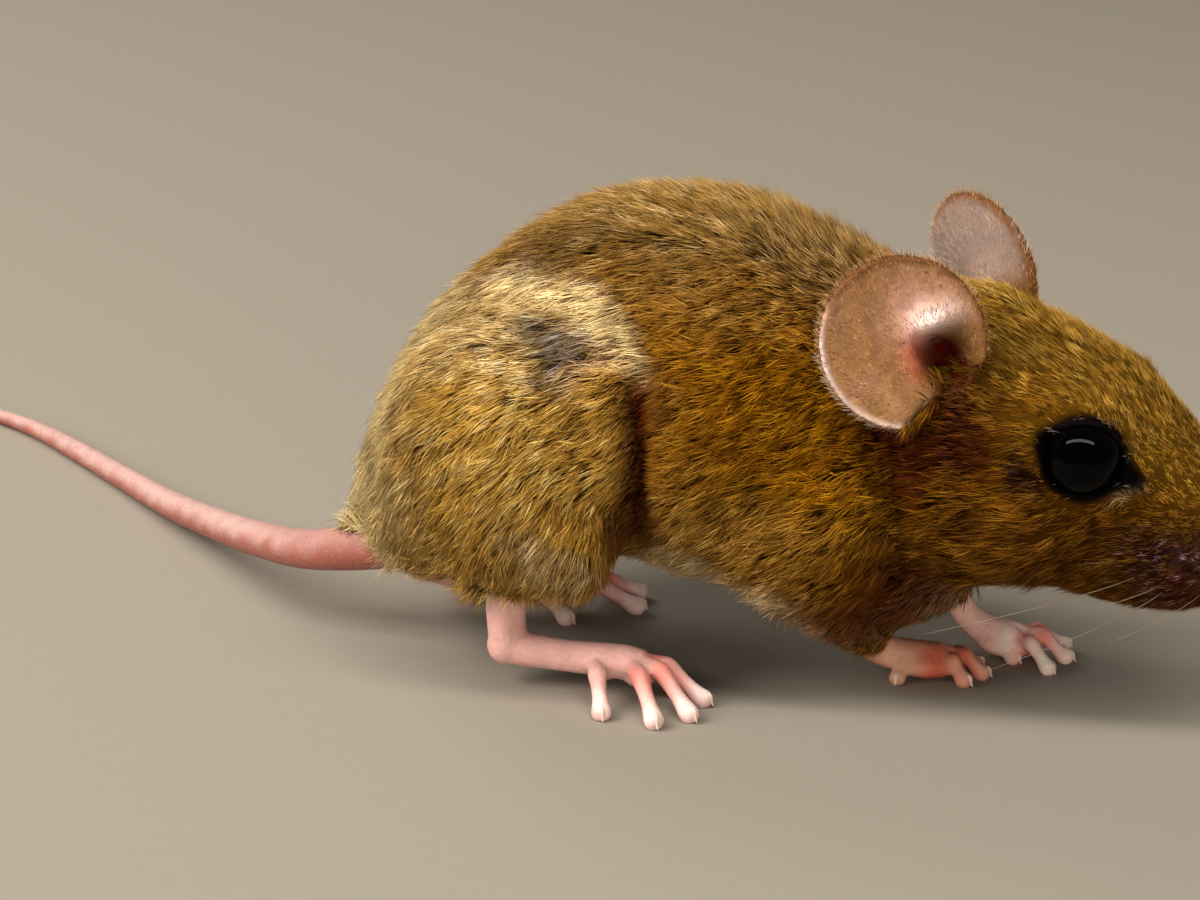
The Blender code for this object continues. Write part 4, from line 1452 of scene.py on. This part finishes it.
def ear_fringe(points):
    """The lower front of the ears, where the hair of the head runs up over the rim."""
    share = np.zeros(len(points))
    for which, side in SIDES.items():
        across, depth, along = in_ear(which, side, points)
        here = (np.hypot(across, along) < 1.15) & (np.abs(depth) < 6.0)
        share = np.maximum(share, here * steps(0.02, 0.3, buried(across, along)))
    return share


def in_the_bowl(points):
    """Whether points lie in the hollow of an ear, where no long hair grows."""
    inside = np.zeros(len(points), bool)
    for which, side in SIDES.items():
        across, depth, along = in_ear(which, side, points)
        reach = np.hypot(across, along)
        from_bowl = np.hypot(across - EAR_BOWL_AT[0], along - EAR_BOWL_AT[1]) / EAR_BOWL_SPREAD
        leaf = EAR_DISH * (1.0 - reach**2) + EAR_BOWL * np.exp(-(from_bowl**2))
        inside |= (reach < 0.93) & (depth > -2.5) & (depth < leaf + 0.5)
    return inside


def tufted(name, rng, base, weight, coat, palette, short):
    """One piece of the coat: tufts of hairs over the part of the base that its weight gives."""
    bend, triangles, per_tuft = (0.0, 4, 3) if short else (0.42, 6, 4)
    tufts = coat.faces // (triangles * per_tuft)
    place, normal, flat = planted(rng, base, weight, tufts)
    way, length, lift = lie_of(place)
    lean = ripples(place, 2.2, 21) + 0.8 * ripples(place, 6.0, 24)
    way = unit(way) + 0.15 * lean + rng.normal(scale=0.12, size=way.shape)
    lift = lift * (1.0 + 0.2 * ripple(place, 2.0, 27)) + rng.normal(scale=0.07, size=tufts)
    leads = tree_of(place[::TUFTS_LED])
    lead = np.array([leads.find(spot)[1] for spot in place]) * TUFTS_LED
    way = way + 0.8 * (place[lead] - place) / np.maximum(length, 0.8)[:, None]
    way, length = round_eyes(place, way, length)
    beside_fold = haunch_fold(place - np.array((1.4, 0.0, 0.0)))
    length = length * (1.0 - 0.35 * ear_fringe(place)) * (1.0 - 0.5 * beside_fold)
    chance, tone = rng.random(tufts), rng.random(tufts)
    # hairs in the painted highlight along the haunch get fewer dark tips and a lighter tone
    crest_highlight = haunch_highlight(place)
    chance = np.where(rng.random(tufts) < 0.55, chance[lead], chance) * (1.0 - 0.6 * crest_highlight)
    tone = (0.55 * tone[lead] + 0.45 * tone) * (1.0 - 0.4 * crest_highlight) + 0.55 * crest_highlight
    way = flat_way(way, normal)
    tuft = (place, normal, way, np.cross(normal, way), length, lift, flat, chance, tone)
    place, normal, way, across, length, lift, flat, chance, tone = (
        np.repeat(values, per_tuft, axis=0) for values in tuft
    )
    count = tufts * per_tuft
    spread = rng.normal(scale=0.07 if short else 0.12, size=(count, 2))
    roots = place + across * spread[:, :1] + way * spread[:, 1:]
    splay = rng.normal(scale=0.13, size=count) - 0.4 * spread[:, 0] / np.maximum(length, 0.5)
    way = way + across * splay[:, None]
    long = length * rng.uniform(0.55, 1.08, size=count)
    first = lift + 0.20 + rng.normal(scale=0.07, size=count)
    last = lift - 0.22 + rng.normal(scale=0.12, size=count)
    width = coat.width * 1000.0 * rng.uniform(0.7, 1.15, size=count)
    width = width * np.clip(0.6 + length / 6.0, 0.7, 1.1)
    tips = roots + long[:, None] * raised(unit(way), normal, lift)
    clear = clear_of_eyes(roots, 0.5 * (roots + tips), tips)
    share = rng.uniform(0.45, 1.1, count).clip(0.0, 1.0)
    values = {
        "marking": coat_marking(roots + 0.75 * (tips - roots), palette, share),
        "chance": np.clip(chance * 0.75 + 0.25 * rng.random(count), 0.0, 1.0),
        "tone": 0.7 * tone + 0.3 * rng.random(count),
    }
    return hair_mesh(
        name, bend, roots[clear], normal[clear], way[clear], long[clear], (first[clear], last[clear]),
        width[clear], flat[clear], {key: value[clear] for key, value in values.items()},
    )  # fmt: skip


def down_ways(names, region, place):
    """The way the fine hair of the ears, feet and tail lies, and its length."""
    way, length = np.zeros((len(place), 3)), np.zeros(len(place))
    line = np.array([point[:3] for point in TAIL_PATH])
    for index, name in enumerate(names):
        here = np.flatnonzero(region == index)
        part, _, which = name.partition("_")
        if part == "ear":
            side = SIDES[which]
            middle = np.array(ear_place(which, side, 0.2, 0.5, -0.8))
            way[here], length[here] = unit(place[here] - middle), 0.8
        elif part == "tail":
            nearest = ((place[here, None] - line[None]) ** 2).sum(axis=2).argmin(axis=1)
            ahead = line[np.minimum(nearest + 1, len(line) - 1)] - line[np.maximum(nearest - 1, 0)]
            way[here], length[here] = unit(ahead), 0.55
        elif part in ("hind", "fore"):
            way[here] = np.array([1.0, 0.1 * SIDES[which], -0.4])
            length[here] = np.where(place[here, 2] > 0.9, 0.5, 0.0)
    return way, length


class MOUSE_OT_coat(bpy.types.Operator):
    """The furred coat, in tufts that follow its lie from nose to tail"""

    bl_idname = "mouse.coat"
    bl_label = "Coat"

    def execute(self, context):
        coat = context.scene.mouse_coat
        palette = palette_of(context.scene.mouse_skin, coat)
        base = unwrapped_base()
        points = points_of(base.data)
        region = value_of(base.data, "region").round().astype(int)
        furred = 1.0 - smoothed(base.data, (region >= 0).astype(float), 1)
        _, length, _ = lie_of(points)
        furred *= 1.0 / (0.30 + length / 4.0)  # short hair grows thicker
        furred[(furred < 0.2) | in_the_bowl(points)] = 0.0
        for side in SIDES.values():
            out = np.array(gaze(side)[0])
            away = points - eye_place(side)
            by_eye = np.linalg.norm(away, axis=1) < EYE_RADIUS + LID_HAIR_OUT
            furred[by_eye & (unit(away) @ out < math.cos(math.radians(LID_OPEN)))] = LID_HAIR
        is_ear = np.isin(region, [n for n, bare in enumerate(bare_names()) if bare.startswith("ear")])
        furred[is_ear] = FRINGE_HAIR * ear_fringe(points[is_ear])
        material = coat_material("ticked coat")
        for number, (name, share) in enumerate(coat_pieces(points).items()):
            rng = np.random.default_rng(SEED + number)
            piece = tufted(name, rng, base, furred * share, coat, palette, name == "coat_face")
            finished(piece, material)
        self.down(base, region, palette)
        bpy.data.objects.remove(base)
        return {"FINISHED"}

    def down(self, base, region, palette):
        """Fine short hair on the ears, the tops of the feet and the tail."""
        rng = np.random.default_rng(SEED + 50)
        names = bare_names()
        weights = {"ear": 4.0, "tail": 0.6, "hind": 0.8, "fore": 0.8}
        weight = np.zeros(len(region))
        for index, name in enumerate(names):
            weight[region == index] = weights.get(name.partition("_")[0], 0.0)
        place, normal, flat = planted(rng, base, weight, DOWN_HAIRS)
        tree = tree_of([vert.co for vert in base.data.vertices])
        kind = region[[tree.find(point)[1] for point in place]]
        way, length = down_ways(names, kind, place)
        way = way + rng.normal(scale=0.22, size=way.shape)
        keep = length > 0
        place, normal, flat, way, length, kind = (
            values[keep] for values in (place, normal, flat, way, length, kind)
        )
        count = len(place)
        is_ear = np.array([name.startswith("ear") for name in names] + [False])[kind]
        on_ear = palette["ear"] * rng.uniform(0.4, 1.9, (count, 1))
        colours = np.where(is_ear[:, None], on_ear, np.array(DOWN_COLOUR))
        for which, side in SIDES.items():
            across, depth, along = in_ear(which, side, place)
            reach = np.hypot(across, along)
            back = (kind == names.index(f"ear_{which}")) & (depth > EAR_DISH * (1.0 - reach**2))
            back &= np.hypot(across - EAR_BOWL_AT[0], along - EAR_BOWL_AT[1]) > 2.0 * EAR_BOWL_SPREAD
            pale = back & (rng.random(count) < 0.75 * steps(-0.5, 0.6, 0.3 - along))
            colours[pale] = EAR_EDGE_COLOUR
            length[pale] *= 1.3
        lift = 0.16 + rng.normal(scale=0.08, size=count)
        piece = hair_mesh(
            "coat_down", 0.0, place, normal, way, length * rng.uniform(0.6, 1.2, count), (lift, lift),
            np.where(is_ear, 0.05, 0.032), flat,
            {"marking": colours, "chance": rng.uniform(0.25, 0.7, count), "tone": rng.random(count)},
        )  # fmt: skip
        finished(piece, coat_material("down"))


def bare_names():
    """Names of the bare parts in the order in which the skin numbers them."""
    paired = [f"{part}_{which}" for which in SIDES for part in ("ear", "hind", "fore", "lids")]
    return ["nose", "tail", *paired]


# ---- whiskers ------------------------------------------------------------------------------------
class MOUSE_OT_whiskers(bpy.types.Operator):
    """Long whiskers that sweep back from the pads of the snout"""

    bl_idname = "mouse.whiskers"
    bl_label = "Whiskers"

    def execute(self, context):
        rng = np.random.default_rng(SEED + 90)
        plan = Plan("whisker", Roughness=0.35, Specular_IOR_Level=0.3)
        plan.paint(plan.mix(plan.attribute("run"), (0.02, 0.010, 0.007), (0.34, 0.25, 0.16)))
        forms = []
        for side in SIDES.values():
            for row, n in ((0, 1), (1, 0), (1, 2), (2, 1), (2, 3), (3, 0), (3, 2)):
                root = Vector((24.6 - 1.15 * n, 3.0 + 0.55 * n, 15.2 - 1.1 * row))
                reach = 7.5 + 3.2 * n + rng.uniform(-1.0, 1.0)
                rise = 0.30 - 0.34 * row + rng.uniform(-0.08, 0.08)
                way = Vector((-0.35 - 0.12 * n, 0.80, rise)).normalized()
                back = Vector((-1.0, 0.0, rise * 0.4 - 0.2))
                path = []
                for k in range(5):
                    t = k / 4
                    spot = root + way * reach * 0.5 * (t - 0.3 * t * t) + back * reach * 0.66 * t * t
                    at = in_head(*outward(spot, side))
                    at.z = max(at.z, 0.3)
                    path.append((*at, 0.05 * (1.0 - 0.85 * t)))
                forms.append(tube(path, WHISKER_RINGS, WHISKER_SIDES))
        whiskers = new_object("whiskers", joined(forms))
        per = WHISKER_RINGS * WHISKER_SIDES
        put_value(whiskers.data, "run", (np.arange(len(whiskers.data.vertices)) % per) / per)
        finished(whiskers, plan.material)
        return {"FINISHED"}


# ---- stage ---------------------------------------------------------------------------------------
CAMERA_TURN = math.radians(12.0)
CAMERA_RISE = math.radians(19.0)
CAMERA_AWAY = 0.2381
CAMERA_AIM = (0.0, 0.0, 15.6)
CAMERA_LENS, CAMERA_SENSOR = 100.0, 36.0
LAMPS_AIM = Vector((0.0, 0.0, 0.015))
# Lamps whose light leaves no glint: name, place and sizes in metres in the row's frame, the setting
# that holds the power, and colour.
SOFT_LAMPS = (
    ("side lamp", (-0.40, -0.28, 0.36), (0.35, 0.35), "side", (1.0, 0.97, 0.92)),
    ("lamp in front", (0.24, -0.75, 0.15), (0.45, 0.3), "fill", (1.0, 0.95, 0.86)),
    ("lamp behind", (-0.36, 0.26, 0.34), (0.3, 0.3), "rim", (1.0, 0.96, 0.90)),
)


def lamp(name, place, sizes, power, colour):
    light = bpy.data.lights.new(name, "AREA")
    light.shape = "RECTANGLE"
    light.size, light.size_y = sizes
    light.energy = power
    light.color = colour
    obj = linked(name, light)
    obj.location = place
    obj.rotation_mode = "QUATERNION"
    obj.rotation_quaternion = (LAMPS_AIM - Vector(place)).to_track_quat("-Z", "Y")
    return obj


class MOUSE_OT_stage(bpy.types.Operator):
    """A pale floor, soft lamps and the camera"""

    bl_idname = "mouse.stage"
    bl_label = "Stage"

    def execute(self, context):
        stage = context.scene.mouse_stage
        bm = bmesh.new()
        bmesh.ops.create_grid(bm, x_segments=8, y_segments=8, size=1.5)
        floor = new_object("floor", bm)
        plan = Plan("pale floor", Roughness=0.8)
        grain = plan.noise(900.0, 4.0)
        tone = tuple(stage.floor)
        plan.paint(plan.mix(grain, tone, tuple(0.94 * part for part in tone)))
        plan.bump(grain, 0.00004, 0.4)
        floor.data.materials.append(plan.material)
        lamp("high lamp", (0.0, -0.21, 0.52), (0.80, 0.08), stage.high, (1.0, 0.97, 0.90))
        for name, place, sizes, power, colour in SOFT_LAMPS:
            lamp(name, place, sizes, getattr(stage, power), colour).visible_glossy = False
        world = bpy.data.worlds.new("room")
        world.use_nodes = True
        room = world.node_tree.nodes["Background"]
        room.inputs["Color"].default_value = (1.0, 0.96, 0.90, 1.0)
        room.inputs["Strength"].default_value = stage.room
        context.scene.world = world
        context.scene.view_settings.view_transform = "Standard"
        level, rise = math.cos(CAMERA_RISE), math.sin(CAMERA_RISE)
        back = Vector((math.sin(CAMERA_TURN) * level, -math.cos(CAMERA_TURN) * level, rise))
        lens = bpy.data.cameras.new("camera")
        lens.lens, lens.sensor_width = CAMERA_LENS, CAMERA_SENSOR
        lens.clip_start, lens.clip_end = 0.01, 10.0
        camera = linked("camera", lens)
        camera.location = TO_ROW @ Vector(CAMERA_AIM) + back * CAMERA_AWAY
        camera.rotation_mode = "QUATERNION"
        camera.rotation_quaternion = (-back).to_track_quat("-Z", "Y")
        context.scene.camera = camera
        return {"FINISHED"}


class MOUSE_PT_panel(bpy.types.Panel):
    """The mouse's pieces, one button each"""

    bl_label = "Field Mouse"
    bl_space_type = "VIEW_3D"
    bl_region_type = "UI"
    bl_category = "Field Mouse"

    def draw(self, context):
        for operator in OPERATORS:
            self.layout.operator(operator.bl_idname)
        for key, group in GROUPS.items():
            box = self.layout.box()
            for name in group.__annotations__:
                box.prop(getattr(context.scene, key), name)


OPERATORS = (
    MOUSE_OT_skin,
    MOUSE_OT_eyes,
    MOUSE_OT_claws,
    MOUSE_OT_coat,
    MOUSE_OT_whiskers,
    MOUSE_OT_stage,
)
GROUPS = {"mouse_skin": MOUSE_PG_skin, "mouse_coat": MOUSE_PG_coat, "mouse_stage": MOUSE_PG_stage}


def register():
    for kind in (*GROUPS.values(), *OPERATORS, MOUSE_PT_panel):
        bpy.utils.register_class(kind)
    for key, group in GROUPS.items():
        setattr(bpy.types.Scene, key, PointerProperty(type=group))


def unregister():
    for key in GROUPS:
        delattr(bpy.types.Scene, key)
    for kind in reversed((*GROUPS.values(), *OPERATORS, MOUSE_PT_panel)):
        bpy.utils.unregister_class(kind)


def main():
    register()
    bpy.ops.mouse.skin()
    bpy.ops.mouse.eyes()
    bpy.ops.mouse.claws()
    bpy.ops.mouse.coat()
    bpy.ops.mouse.whiskers()
    bpy.ops.mouse.stage()


if __name__ == "__main__":
    main()
